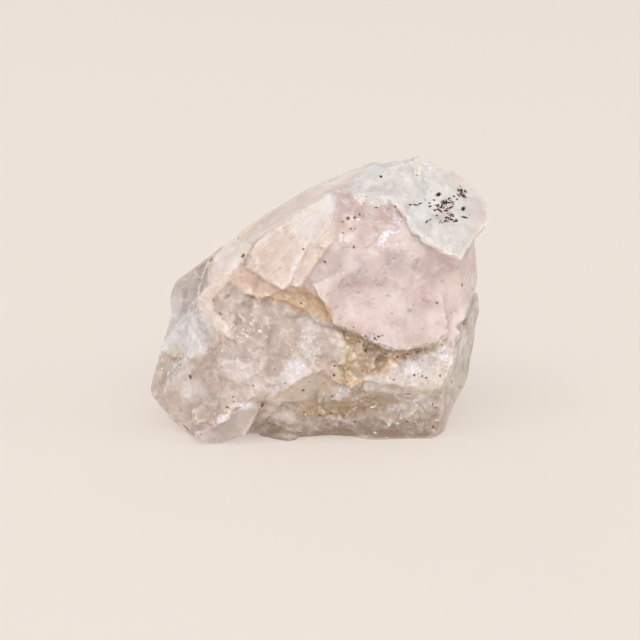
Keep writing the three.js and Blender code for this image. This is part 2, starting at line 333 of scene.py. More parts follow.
# %% The outlines
AREAS = {
    "beryl": [
        (-1.9, 2.7), (-0.1, 2.1), (1.2, 0.9), (1.2, -0.3), (2.7, -1), (4.9, -2.2), (6.5, -2.8),
        (8.4, -2.9), (10.2, -2.5), (11.8, -2), (12.9, -1.1), (13.4, 0.3), (14.1, 1.8),
        (15.2, 3.3), (15.9, 7.9), (16.8, 10.6), (15.4, 13.4), (11.1, 16), (9.3, 16.5),
        (5.9, 16.3), (1.1, 14.4), (-5.1, 11), (-8.6, 8), (-6.5, 6.9), (-3.8, 2.8),
    ],
    "slope": [
        (-8.4, 7.8), (-7.9, 8.8), (-5.1, 10.9), (-1.9, 12.8), (1.1, 14.3), (4, 15.5),
        (5.9, 16.2), (7.7, 15.8), (4.9, 14.3), (3.6, 13.4), (2.2, 12.4), (1.1, 12),
        (-1, 10.8), (-3.1, 9.3), (-5.1, 7.8), (-6.5, 6.9), (-7.2, 7.5),
    ],
    "mauve": [
        (1.1, 12.1), (2.8, 12.6), (3.5, 11.1), (5.1, 10.7), (6.8, 11), (7.9, 9.9), (8.4, 8.8),
        (7.2, 8.2), (5.2, 7), (2.7, 6.5), (1.3, 7.9), (1.4, 8.9), (1, 10.3),
    ],
    "peach_main": [
        (-6.7, 6.4), (-7.1, 5), (-5.6, 4), (-3.8, 2.8), (-3, 3.3), (-1, 7.3), (-3.1, 9.4),
        (-5.1, 7.9),
    ],
    "peach_upper": [
        (-3.1, 9.4), (-1, 7.4), (0.4, 6.8), (1.3, 7.9), (1.4, 8.9), (1, 10.3), (1.1, 12.1),
        (-1, 10.8),
    ],
    "peach_right": [(-1, 7.3), (-3, 3.3), (-1.6, 3), (-0.5, 5.1), (0.5, 6.7)],
    "peach_lip": [
        (-8.9, 4.3), (-8.1, 3.3), (-6, 2.1), (-3.3, 2.6), (-3, 3.1), (-3.8, 2.8), (-5.6, 4),
        (-7.1, 5), (-7.9, 4.9),
    ],
    "cream": [
        (-10.5, 6.2), (-9.4, 7.4), (-7.2, 7.8), (-6.4, 6.9), (-7.4, 5.5), (-8.8, 4.2),
        (-10.2, 3.2), (-10.7, 3.6),
    ],
    "cream_edge": [
        (-11.9, 1.9), (-10.7, 3.3), (-8.8, 4.3), (-8.4, 3.9), (-10.2, 2), (-10, 0.9),
        (-8.8, -0.4), (-8.1, -1.8), (-8.8, -1.6), (-10.4, -0.3), (-11.5, 0.8),
    ],
    "grey": [
        (-10.3, 6.4), (-10.7, 3.8), (-10.6, 3.2), (-11.8, 1.9), (-12.7, 0.4), (-14.8, 0.4),
        (-14.8, 3.3), (-13.8, 4.7), (-12.2, 6.2),
    ],
    "glassy": [
        (-11.8, 1.9), (-11.4, 0.8), (-10.4, -0.2), (-9.9, -1.6), (-11.1, -3.3), (-12.4, -3.7),
        (-13.1, -2.8), (-15.4, -3.5), (-14.9, -1.1), (-14.6, 0.7), (-12.7, 0.5),
    ],
    "lobe": [
        (-11.3, -9.9), (-10, -10.1), (-8.8, -9.3), (-8.5, -8.4), (-7.2, -7.7), (-5.5, -7.9),
        (-5.7, -8.8), (-6.7, -10.7), (-8.1, -11.8), (-9.8, -12.4), (-12.6, -10.5),
    ],
    "streak": [
        (-5.5, -7.4), (-4, -5.9), (-3.1, -3.8), (-2.3, -3.1), (-1.8, -4.1), (-0.9, -4.7),
        (0, -5), (-1.9, -5.9), (-3.8, -6.8),
    ],
    "ochre": [
        (-5.9, 2.2), (-4.2, 2.5), (-1.5, 3.1), (0, 2.1), (1.2, 0.9), (1.2, -0.4), (-0.1, 0.1),
        (-1.5, 0.6), (-3.1, 1.5),
    ],
    "low_right": [
        (-5.7, -7.5), (-3.3, -6.4), (-0.1, -4.9), (2.2, -5.9), (4, -5.4), (6.8, -4.9),
        (11.6, -2.7), (12.9, -2.7), (12.9, -4), (11.6, -6.9), (11.2, -8.6), (11.6, -12),
        (3.3, -12), (1.5, -12), (-1.9, -12), (-7, -12),
    ],
    "side": [
        (15.1, 3.5), (14, 0.9), (13.1, -1.2), (12.7, -2.7), (12.8, -4), (11.6, -6.8),
        (11.1, -8.6), (11.8, -12), (12.8, -11), (14.8, -5.9), (16, -1.5), (16, 3.3),
    ],
    "shelf": [
        (7.5, -3.8), (9.5, -3.3), (11.6, -2.7), (12.5, -2.3), (12.9, -3.3), (12.1, -5.9),
        (11, -6.8), (9.5, -7.3), (6.8, -6.9), (4, -6.6), (4.4, -5.4), (6.3, -4.9),
    ],
    "wedge": [
        (-5.6, -7.5), (-3.3, -6.5), (-0.5, -5), (0.3, -4.9), (0.1, -6.2), (-0.8, -7.2),
        (-2.1, -7.8), (-4.2, -8),
    ],
    "band": [
        (-2.1, -8), (-0.5, -7.5), (2.7, -7.2), (5.2, -7.2), (7.7, -7.9), (5.2, -8.6),
        (2.2, -8.9), (-0.5, -9.1), (-1.9, -8.6),
    ],
    "recess": [
        (1.3, -0.3), (2.7, -1), (4, -1.5), (4.9, -2.2), (6.5, -2.8), (8.4, -2.9), (10.2, -2.5),
        (11.9, -1.9), (11.2, -2.8), (9.5, -3.4), (7.5, -3.8), (6.1, -4.1), (4.9, -5.1),
        (3.6, -5.2), (2.2, -5.9), (0.9, -5.3), (1.9, -4), (2.7, -2.5), (1.7, -1.1),
    ],
    "underside": [
        (-6.9, -11.2), (-5.9, -10), (-3.8, -10.1), (-1.6, -10.6), (1.3, -10.2), (2.4, -9.7),
        (4.9, -9.7), (8, -10.3), (11.1, -10.8), (11.8, -12), (3.3, -12.6), (-1.9, -12.6),
    ],
    "cap": [
        (2.5, 12.7), (3.5, 11.1), (5.1, 10.7), (6.8, 11), (7.9, 9.9), (8.5, 8.6), (9.5, 7.5),
        (11.6, 6.2), (13.1, 5.6), (13.8, 6.7), (14.7, 7.7), (16.4, 9), (16.8, 10.6),
        (15.2, 13.6), (13.4, 14.9), (11.1, 15.8), (9.6, 16.5), (7.2, 16), (4.9, 14.7),
    ],
    "cap_edge": [
        (9.3, 16.3), (9.5, 15), (10.9, 14.3), (12.7, 13), (14.1, 11.5), (14.4, 9.7),
        (14.1, 8.1), (16.4, 8.8), (17, 10.6), (15.2, 13.6), (13.4, 14.9), (11.1, 16),
    ],
}
# How far back an area goes, in mm from the front: without a limit it runs through the stone.
DEEPEST = {
    "slope": 5, "mauve": 4, "peach_main": 2, "peach_upper": 3, "peach_right": 1,
    "peach_lip": 1, "cream": 2, "cream_edge": 0, "glassy": 6, "lobe": 0, "streak": -4,
    "ochre": -4, "shelf": -3, "wedge": -3, "band": -3, "recess": -2, "underside": 0, "cap": 6,
    "cap_edge": 3,
}
print("areas:", len(AREAS))

# %% [markdown]
# ## Measuring in the front view
#
# Every point of the surface is given its distance to each outline, positive inside. This is
# worked out for all points at once, which is far quicker than one by one. Behind the front
# the borders sway to and fro, so that none runs straight through the stone like a cut.

# %% Measure in the front view
EYE = camera_place / MM
SWAY_DEPTHS = (0, 6)  # where the borders start to sway, and where they sway fully, in mm
SWAY_WIDE, SWAY_FINE = 1.4, 0.5  # mm


def soft(values, low, high):
    """0 below low, 1 above high, and a smooth rise between them."""
    share = np.clip((values - low) / (high - low), 0, 1)
    return share * share * (3 - 2 * share)


def places(thing):
    points = np.empty(3 * len(thing.data.vertices))
    thing.data.vertices.foreach_get("co", points)
    return points.reshape(-1, 3)


def put_places(thing, points):
    thing.data.vertices.foreach_set("co", points.ravel())
    thing.data.update()


def directions(thing):
    normals = np.empty(3 * len(thing.data.vertices))
    thing.data.vertices.foreach_get("normal", normals)
    return normals.reshape(-1, 3)


def front_view(points):
    """Millimetres right of and above the aim, as the camera sees these points."""
    from_camera = points - np.array(EYE)
    ahead = from_camera @ np.array(view_forward)
    flat = np.stack([from_camera @ np.array(view_right), from_camera @ np.array(view_up)], axis=1)
    return flat * (CAMERA_DISTANCE / MM / ahead)[:, None]


def from_front(right, up, depth):
    """The place seen at a point of the front view, this far behind the plane of the aim."""
    target = (CAMERA_AIM + view_right * right * MM + view_up * up * MM) / MM
    return EYE + (target - EYE) * (1 + depth * MM / CAMERA_DISTANCE)


def to_outline(outline, flat):
    """How far each flat point is inside an outline, in mm, and the way to the nearest border."""
    nearest = np.full(len(flat), np.inf)
    way = np.zeros_like(flat)
    crossings = np.zeros(len(flat), int)
    corners = np.array(outline, float)
    for start, end in zip(corners, np.roll(corners, -1, axis=0)):
        side = end - start
        along = np.clip(((flat - start) @ side) / (side @ side), 0, 1)
        path = start + along[:, None] * side - flat
        gap = np.linalg.norm(path, axis=1)
        way = np.where((gap < nearest)[:, None], path, way)
        nearest = np.minimum(nearest, gap)
        between = (flat[:, 1] < start[1]) != (flat[:, 1] < end[1])
        if side[1]:
            crossing = start[0] + (flat[:, 1] - start[1]) * side[0] / side[1]
            crossings += between & (flat[:, 0] < crossing)
    return np.where(crossings % 2 == 1, nearest, -nearest), way


def inside_by(outline, flat):
    return to_outline(outline, flat)[0]


def swayed(points):
    """The same places, but moved to and fro behind the front."""
    amount = soft(points[:, 1], *SWAY_DEPTHS)[:, None]
    wide = np.sin(points[:, [1, 2, 0]] * 0.9 + [0.4, 2.1, 4.0])
    fine = np.sin(points[:, [2, 0, 1]] * 2.3 + [1.0, 3.0, 5.0])
    return points + amount * (SWAY_WIDE * wide + SWAY_FINE * fine)


def area_depths(points):
    """The distance inside each area for all points, by the area's name."""
    flat = front_view(swayed(points))
    depths = {}
    for name, outline in AREAS.items():
        inside = inside_by(outline, flat)
        if name in DEEPEST:
            inside = np.minimum(inside, DEEPEST[name] - points[:, 1])
        depths[name] = inside
    return depths


span = np.ptp(front_view(places(stone)), axis=0)
print("the front view is", round(float(span[0]), 1), "mm wide and", round(float(span[1]), 1), "mm high")

# %% [markdown]
# ## Sugary filling under the ledge
#
# The stained recess is packed with small grains up to just behind the pink ledge. A block
# behind them closes it, and the remesh below grows everything together. The gap under the
# ledge at the back is packed with grains in the same way.

# %% Fill the recess
FILLING = [
    (1, 0.6), (2.4, 0.2), (4.2, -0.6), (6, -1.8), (8.4, -2), (10.4, -1.7), (12, -0.8),
    (13.4, -0.2), (13.7, -1.4), (13, -2.6), (11.8, -3), (9.5, -3.6), (7.5, -4), (6.3, -4.5),
    (5, -5.4), (3.6, -5.6), (2.4, -6.1), (1.5, -5.6), (1.3, -4.8), (1.2, -4), (1.2, -2.5),
    (1.1, -1),
]
FILLING_FRONT = -7.25  # mm behind the plane of the aim, so this lies in front of it
FILLING_LEAN = 0.06  # how fast the front goes back towards the right
FILLING_BEND = 0.6  # how fast it bends back round the stone's side
FILLING_BENDS_FROM = 11.5
FILLING_BACK = 3
LUMPS = [
    # (right, up, depth, radius) in the recess,
    (4.7, -4.0, -6.5, 1.2), (5.7, -3.3, -6.6, 0.5), (2.2, -3.2, -6.7, 0.8), (6.7, -4.3, -7.0, 0.8),
    (3.2, -5.8, -7.0, 0.85), (3.0, -1.6, -6.9, 0.5), (7.0, -3.3, -6.7, 0.55), (9.6, -3.1, -6.9, 0.4),
    # in the foot,
    (-3.0, -10.8, -4.6, 0.7), (-4.2, -10.5, -4.4, 0.65), (-5.3, -10.5, -4.4, 0.6), (-2.2, -10.7, -4.5, 0.6),
    (-1.2, -10.4, -4.3, 0.55), (-6.2, -10.4, -4.6, 0.55), (-3.1, -10.8, -5.2, 0.9),
    (-3.9, -10.7, -5.0, 0.75), (-2.4, -10.8, -5.1, 0.75), (-7.0, -10.4, -4.8, 0.5),
    # beside the peach slab,
    (-6.9, 6.4, -6.5, 0.9), (-6.8, 5.8, -6.6, 0.8), (-6.9, 6.1, -7.0, 0.6), (-6.9, 5.5, -7.1, 0.6),
    # beside the wedge and under the ledge's right end.
    (0.9, -4.6, -6.7, 0.75), (1.3, -5.3, -6.2, 0.75), (11.8, -2.3, -6.7, 0.55), (12.3, -1.9, -6.3, 0.65),
    (12.8, -1.4, -5.8, 0.65), (12.5, -2.5, -6.0, 0.55), (11.2, -2.25, -6.75, 0.6), (11.4, -2.7, -6.6, 0.5),
]
GRAINS = 220  # with the block and the lumps
GRAIN_SIZES = (0.22, 0.55)
GRAIN_DEPTHS = (-0.1, 0.3)  # behind the filling's front
GRAIN_SPOTS = ((-0.5, -6), (10.5, 0.5))  # two corners of the part of the front view to try
BACK_GAP = np.array([(9.0, 10.0, 6.6), (-1.0, 10.3, 7.1)])  # where it starts and ends, in mm
BACK_LUMPS = [
    ((8.1, 10.0, 6.7), 1.3), ((7.2, 10.3, 6.2), 0.9), ((1.8, 10.0, 6.7), 0.9), ((8.6, 9.9, 7.4), 1.0),
    ((7.6, 10.4, 7.3), 1.0), ((6.4, 10.6, 7.0), 0.9), ((4.8, 10.9, 7.0), 0.8), ((2.6, 10.6, 7.4), 0.9),
]
BACK_GRAINS = 36
BACK_GRAIN_SIZES = (0.35, 0.75)
BACK_SPREAD = 0.25
chance = np.random.default_rng(143)


def filling_depth(right):
    """How deep the filling's front lies at this distance to the right."""
    bend = FILLING_BEND * max(0, right - FILLING_BENDS_FROM) ** 2
    return FILLING_FRONT + FILLING_LEAN * right + bend


def grain(centre, radius):
    """A small crystal grain: a rough ball with few faces, turned at random and squeezed."""
    turn = chance.random(3) * 2 * math.pi
    bpy.ops.mesh.primitive_ico_sphere_add(subdivisions=1, radius=radius, location=centre, rotation=turn)
    bpy.context.object.scale = 0.75 + 0.5 * chance.random(3)
    return bpy.context.object


def filling_block():
    """A block between the filling's outline in front and the same outline behind."""
    front = [from_front(right, up, filling_depth(right)) for right, up in FILLING]
    back = [from_front(right, up, FILLING_BACK) for right, up in FILLING]
    count = len(FILLING)
    ends = [tuple(range(count))[::-1], tuple(range(count, 2 * count))]
    sides = [(i, (i + 1) % count, count + (i + 1) % count, count + i) for i in range(count)]
    mesh = bpy.data.meshes.new("filling")
    mesh.from_pydata(front + back, [], ends + sides)
    block = bpy.data.objects.new("filling", mesh)
    bpy.context.collection.objects.link(block)
    return block


grown = [filling_block()]
grown += [grain(from_front(right, up, depth), size) for right, up, depth, size in LUMPS]
while len(grown) < GRAINS:
    spot = chance.uniform(*GRAIN_SPOTS)
    if inside_by(FILLING, spot[None, :])[0] > 0:
        place = from_front(*spot, filling_depth(spot[0]) + chance.uniform(*GRAIN_DEPTHS))
        grown.append(grain(place, chance.uniform(*GRAIN_SIZES)))
grown += [grain(centre, size) for centre, size in BACK_LUMPS]
for share in np.linspace(0, 1, BACK_GRAINS):
    place = BACK_GAP[0] + share * (BACK_GAP[1] - BACK_GAP[0]) + chance.normal(size=3) * BACK_SPREAD
    grown.append(grain(place, chance.uniform(*BACK_GRAIN_SIZES)))
bpy.ops.object.select_all(action="DESELECT")
for thing in grown:
    thing.select_set(True)
stone.select_set(True)
bpy.context.view_layer.objects.active = stone
bpy.ops.object.join()
print("grains:", len(grown) - 1)

# %% [markdown]
# ## One fine skin
#
# A voxel remesh wraps everything in one even skin of small quads, which is fine enough to
# carve the relief into. A little smoothing takes away the steps that its grid leaves.

# %% Remesh the stone
SKIN_SIZE = 0.15


def finish_modifier(thing, kind, **settings):
    """Adds a modifier with these settings and applies it."""
    select_only(thing)
    bpy.ops.object.modifier_add(type=kind)
    modifier = thing.modifiers[-1]
    for name, value in settings.items():
        setattr(modifier, name, value)
    bpy.ops.object.modifier_apply(modifier=modifier.name)


finish_modifier(stone, "REMESH", mode="VOXEL", voxel_size=SKIN_SIZE)
finish_modifier(stone, "SMOOTH", factor=0.5, iterations=2)
print("the skin has", len(stone.data.polygons), "faces")

# %% [markdown]
# ## Worn joints
#
# Where two masses run into each other without a step, or an edge is worn round, the skin is
# melted: a Smooth modifier goes over it in many rounds, and a vertex group says where. The
# flat base keeps its height, because the stone rests on it.

# %% Melt the joints
BASE_FADE = (0.3, 1.5)  # from the flat base up, changes set in between these heights, in mm
MELT_BORDER = 0.6
WEIGHT_LEVELS = 8
WORN_AREAS = ("lobe", "glassy", "side", "low_right", "wedge")
WORN_BORDER = 0.8
WORN_ROUNDS = 14
JOINTS = [
    [(-0.8, 4), (0, 2), (1.4, 2), (4.4, 4.2), (3.6, 6), (1, 5.4)],
    [(-8.2, 6.8), (-7.6, 5), (-6.4, 5.2), (-6.2, 6.6), (-7, 7.4)],
    [(-0.8, -4.6), (1, -3), (1.8, -4), (1.4, -6), (-1, -6)],
    [
        (4.5, -6.2), (7, -6.4), (9.6, -6.6), (11.2, -6.4), (12.2, -5.6), (12.6, -6.6),
        (11.6, -8.2), (8, -8), (5, -7.6),
    ],
    [(10.6, -7), (12.4, -5), (13.4, -6.4), (12.6, -11.6), (10.4, -11.6)],
    [(-7.4, -9.6), (-5, -9.4), (-1, -10), (1.4, -10), (1.4, -12.4), (-7, -12.4)],
    [(11.4, -1.4), (12.4, -0.6), (13.4, 0.2), (14, -0.8), (13, -2.8), (12, -2.8)],
]
LEFT_CORNER = [(-16.8, -9), (-14.6, -9), (-14.4, -5), (-15.6, -4.6), (-17, -6)]
CAP_SHOULDER = [
    (0.8, 12.4), (2.4, 10.4), (4.2, 10), (6.9, 9.7), (8, 10.2), (7.8, 11), (5.4, 12.2), (5.6, 13.6),
    (7.6, 15), (8.6, 15.9), (5.6, 16), (2.8, 14.8),
]
MELTINGS = [(JOINTS, 60), ([LEFT_CORNER], 15), ([CAP_SHOULDER], 300)]  # (outlines, rounds)


def where_group(thing, where):
    """A vertex group with the weights of where, in eighths."""
    group = thing.vertex_groups.new(name="where")
    levels = np.round(where * WEIGHT_LEVELS)
    for level in range(1, WEIGHT_LEVELS + 1):
        group.add([int(i) for i in np.flatnonzero(levels == level)], level / WEIGHT_LEVELS, "REPLACE")
    return group


def melt(thing, where, rounds):
    """Smooths the places where it says so, and keeps the flat base at its height."""
    before = places(thing)
    group = where_group(thing, where)
    finish_modifier(thing, "SMOOTH", factor=0.5, iterations=rounds, vertex_group=group.name)
    thing.vertex_groups.clear()
    after = places(thing)
    after[:, 2] = before[:, 2] + (after[:, 2] - before[:, 2]) * soft(before[:, 2], *BASE_FADE)
    put_places(thing, after)


def melt_in_front(thing, outlines, rounds):
    """Melts what the front view shows inside these outlines."""
    flat, in_front = front_view(places(thing)), places(thing)[:, 1] < 0
    inside = np.maximum.reduce([soft(inside_by(outline, flat), 0, MELT_BORDER) for outline in outlines])
    melt(thing, inside * in_front, rounds)


depths = area_depths(places(stone))
worn = np.maximum.reduce([soft(depths[name], 0, WORN_BORDER) for name in WORN_AREAS])
melt(stone, worn, WORN_ROUNDS)
for outlines, rounds in MELTINGS:
    melt_in_front(stone, outlines, rounds)

# %% [markdown]
# ## Faces that split off clean
#
# Three faces in front split off clean. Rays from the eye find the surface of each face, the
# slanting plane that fits it best is worked out, and the skin is pressed onto that plane.
# Where a pressed face runs into what lies beside it, the skin is melted again.

# %% Press the split faces flat
PRESS_DEPTH, PRESS_FADE = 4, 3  # mm behind the face, where the pressing ends and how it fades
LOBE_FACE = [
    (-13, -12.6), (-11.9, -10), (-10.4, -10.1), (-8.8, -9.6), (-7.4, -8.4), (-5.8, -7.9),
    (-5.4, -8.8), (-7, -11.4), (-9.6, -12.8),
]
CREAM_FACE = [
    (-10.1, 5.9), (-9.3, 6.8), (-7.9, 7), (-6.9, 6.6), (-7.6, 5.5), (-8.8, 4.4), (-10, 3.5),
    (-10.4, 4.2),
]
# (outline, width of its border, how far the face comes forward), in mm
FLAT_FACES = [(LOBE_FACE, 0.4, 0.6), (AREAS["wedge"], 0.12, 0), (CREAM_FACE, 0.5, 0.1)]
BLENDS = [
    [
        (-2.4, -7.3), (-0.9, -6.4), (-0.2, -5.2), (0.2, -4.2), (1.8, -3.9), (2.2, -6), (0.8, -7.6),
        (-1.6, -8.6),
    ],
    [(-12.8, -10.6), (-12.4, -9.2), (-10.8, -8.8), (-9.6, -9.6), (-10.8, -10.5)],
]
BLEND_ROUNDS = 90


def tree_of(thing):
    """The faces of a thing, ready for rays to be cast at them."""
    corners = [Vector(point) for point in places(thing)]
    return BVHTree.FromPolygons(corners, [tuple(face.vertices) for face in thing.data.polygons])


def on_stone(tree, right, up):
    """The place and the direction of the surface behind a point of the front view."""
    place, normal, _, _ = tree.ray_cast(EYE, (from_front(right, up, 0) - EYE).normalized())
    return (place, normal) if place else (from_front(right, up, 0), -view_forward)


def press_flat(thing, outline, border, nearer):
    """Presses what lies inside an outline of the front view onto one slanting plane."""
    points, forward, tree = places(thing), np.array(view_forward), tree_of(thing)
    flat = front_view(points)
    share = soft(inside_by(outline, flat), 0, border) * (points[:, 1] < 0)
    inner = np.flatnonzero(share > 0)
    own = points[inner] @ forward
    front = np.array([tuple(on_stone(tree, *spot)[0]) for spot in flat[inner]]) @ forward
    front = np.minimum(front, own)  # a ray at the very rim can miss the stone
    slants = np.column_stack([flat[inner], np.ones(len(inner))])
    plane = slants @ np.linalg.lstsq(slants, front, rcond=None)[0] - nearer
    # Everything moves with the face in front of it, and less the further it is behind it.
    near = soft(front + PRESS_DEPTH - own, 0, PRESS_FADE)
    points[inner] += (share[inner] * near * (plane - front))[:, None] * forward
    put_places(thing, points)


def rest_on_floor(thing):
    """Lifts what has sunk through the floor."""
    points = places(thing)
    points[:, 2] = np.maximum(points[:, 2], 0)
    put_places(thing, points)


for face in FLAT_FACES:
    press_flat(stone, *face)
melt_in_front(stone, BLENDS, BLEND_ROUNDS)
rest_on_floor(stone)
print("faces pressed flat:", len(FLAT_FACES))

# %% [markdown]
# ## Where each kind of break goes
#
# Every point has a share of 0 to 1 of each kind of surface: fractured quartz, sugary quartz,
# glossy faces, cleaved beryl, and the back, which is rougher. All of them fade at the base.

# %% Share out the surface
BASE_RIM = (0.1, 1.0)  # mm above the floor
SHARE_BORDER = 0.25
GLOSSY_AREAS = ("grey", "wedge", "lobe", "side", "underside", "cream", "cream_edge")
CLEAVED_AREAS = ("peach_main", "peach_upper", "peach_right", "slope")
BACK_FADE = (1, 5)  # mm behind the middle

points, normals = places(stone), directions(stone)
depths = area_depths(points)
flat_base = soft(points[:, 2], *BASE_RIM)
part = {name: soft(inside, -SHARE_BORDER, SHARE_BORDER) * flat_base for name, inside in depths.items()}
glossy = np.maximum.reduce([part[name] for name in GLOSSY_AREAS])
cleaved = np.maximum.reduce([part[name] for name in CLEAVED_AREAS])
fractured = (1 - part["beryl"]) * (1 - part["low_right"]) * (1 - glossy) * flat_base
crumbly = 0.35 + 0.65 * soft(points[:, 0], -4, 1.5)  # the low right is smooth at its left end
sugary = part["low_right"] * (1 - part["wedge"]) * (1 - part["underside"]) * crumbly
sugary = np.maximum(sugary, part["recess"])
behind = soft(points[:, 1], *BACK_FADE) * flat_base
kinds = {"fractured": fractured, "sugary": sugary, "glossy": glossy, "cleaved": cleaved, "behind": behind}
print("shares of the skin:", {kind: round(float(share.mean()), 2) for kind, share in kinds.items()})

# %% [markdown]
# ## Splintered faces
#
# Quartz and beryl break in small flats with crisp borders, not in round bumps. Waves with
# straight flanks that run in many directions give just such a crumpled surface, and a
# little bending of the waves keeps their ridges from running on.

# %% Crumple the faces
BEND = 0.5
BEND_LENGTH = 4.5
FLAT_BORDER = 0.25  # the width of the border between two small flats, as a share of their size


def bent(points):
    """The same places, shifted a little this way and that over a few millimetres."""
    swing = np.sin(points[:, [1, 2, 0]] * (2 * math.pi / BEND_LENGTH) + [0.4, 2.1, 4.0])
    return points + BEND * swing


def crumple(points, longest, shortest, folds, steepness):
    """A height for every point from waves with straight flanks, in mm."""
    bent_points = bent(points)
    height = np.zeros(len(points))
    for length in np.geomspace(longest, shortest, folds):
        along = chance.normal(size=3)
        phase = bent_points @ (along / np.linalg.norm(along)) / length + chance.random()
        height += (4 * np.abs(phase - np.floor(phase + 0.5)) - 1) * length * steepness / 4
    return height


def facet_heights(points, size, steepness):
    """A height made of small flats, in mm: each cell round a scattered point slopes its own way."""
    low, high = points.min(axis=0), points.max(axis=0)
    seeds = chance.uniform(low, high, (int(np.prod((high - low) / size)), 3))
    slopes = chance.normal(size=seeds.shape) * steepness
    near = KDTree(len(seeds))
    for number, seed in enumerate(seeds):
        near.insert(seed, number)
    near.balance()
    pairs = [near.find_n(point, 2) for point in points]
    heights = []
    for order in (0, 1):
        cell = np.array([pair[order][1] for pair in pairs])
        heights.append(((points - seeds[cell]) * slopes[cell]).sum(axis=1))
    apart = np.array([second[2] - first[2] for first, second in pairs])
    share = 0.5 + 0.5 * soft(apart, 0, FLAT_BORDER * size)
    return heights[0] * share + heights[1] * (1 - share)


# Waves have a longest and a shortest length in mm, a number of folds and a steepness.
raised = crumple(points, 5, 1.1, 9, 0.07) * fractured
raised += crumple(points, 3, 0.9, 7, 0.045) * sugary
raised += crumple(points, 6, 1.6, 6, 0.035) * part["beryl"] * (1 - 0.7 * cleaved)
raised += crumple(points, 7, 3.0, 4, 0.025) * glossy
raised += crumple(points, 8, 1.4, 8, 0.06) * behind
# Small flats have a size in mm and a steepness.
raised += facet_heights(points, 1.2, 0.10) * np.maximum(fractured, 0.6 * sugary)
raised += facet_heights(points, 0.65, 0.16) * (0.8 * sugary + 0.2 * part["recess"])
raised += facet_heights(points, 2.4, 0.035) * part["beryl"] * (1 - cleaved)
raised += facet_heights(points, 3.6, 0.09) * behind
raised += facet_heights(points, 1.1, 0.11) * behind
put_places(stone, points + raised[:, None] * normals)
print("crumpled by up to", round(float(np.abs(raised).max()), 2), "mm")

# %% [markdown]
# ## A trimmed outline
#
# What stands out past the stone's front outline is pressed back to it. The foot stays as it
# is, so that the stone keeps its flat base.

# %% Trim the outline
OUTLINE = [
    (-14.5, -0.9), (-14.1, 0.8), (-14.1, 2.4), (-13.8, 3.2), (-13.3, 3.9), (-11.2, 5.4),
    (-10.1, 6.3), (-9.4, 7), (-9, 7.3), (-7.9, 7.7), (-8, 8.1), (-7.7, 8.5), (-3.7, 10.8),
    (-0.6, 12.7), (1.1, 13.3), (2.9, 14.1), (5.6, 15.1), (8.2, 15.1), (9.4, 15.6), (11.6, 14.5),
    (12.7, 14), (14.1, 12.9), (15.6, 11.5), (15.9, 10.8), (16, 9.5), (15.6, 8.6), (14.5, 7.6),
    (14.7, 6), (14.9, 3.2), (15, 0.8), (14.6, -0.8), (14.6, -1.7), (13.9, -5.4), (13.5, -6.4),
    (12.7, -7.8), (12.2, -8.9), (11.8, -10.1), (11.4, -10.7), (10.5, -11.1), (8.3, -11.2),
    (3.6, -11.3), (3, -10.7), (1.8, -10.7), (0.4, -11), (-1.8, -10.9), (-2.4, -11.5),
    (-3.1, -11.5), (-4.4, -11), (-6.2, -10.9), (-8.6, -11.7), (-9.8, -12), (-12.2, -10.6),
    (-13.7, -9.8), (-16.1, -6.9), (-15.1, -3.2),
]
TRIM_MOST = 2.0
TINY = 1e-6  # keeps a division from being one by nothing
RIM = 0.1  # what lies this near the outline, or outside it, is melted a little afterwards
RIM_ROUNDS = 5

points = places(stone)
inside, way = to_outline(OUTLINE, front_view(points))
way *= (np.clip(TRIM_MOST / np.maximum(-inside, TINY), 0, 1) * (inside < 0))[:, None]
way[:, 1] *= soft(points[:, 2], *BASE_FADE)
put_places(stone, points + way[:, :1] * np.array(view_right) + way[:, 1:] * np.array(view_up))
melt(stone, (inside < RIM).astype(float), RIM_ROUNDS)
print("trimmed by up to", round(float(-inside.min()), 2), "mm")

# %% [markdown]
# ## Fracture edges
#
# The edges where a layer broke off are what the eye follows. Each is drawn as a line in the
# front view. To the left of the way that it runs, the surface stays, and to the right it
# drops by a step that fades out.

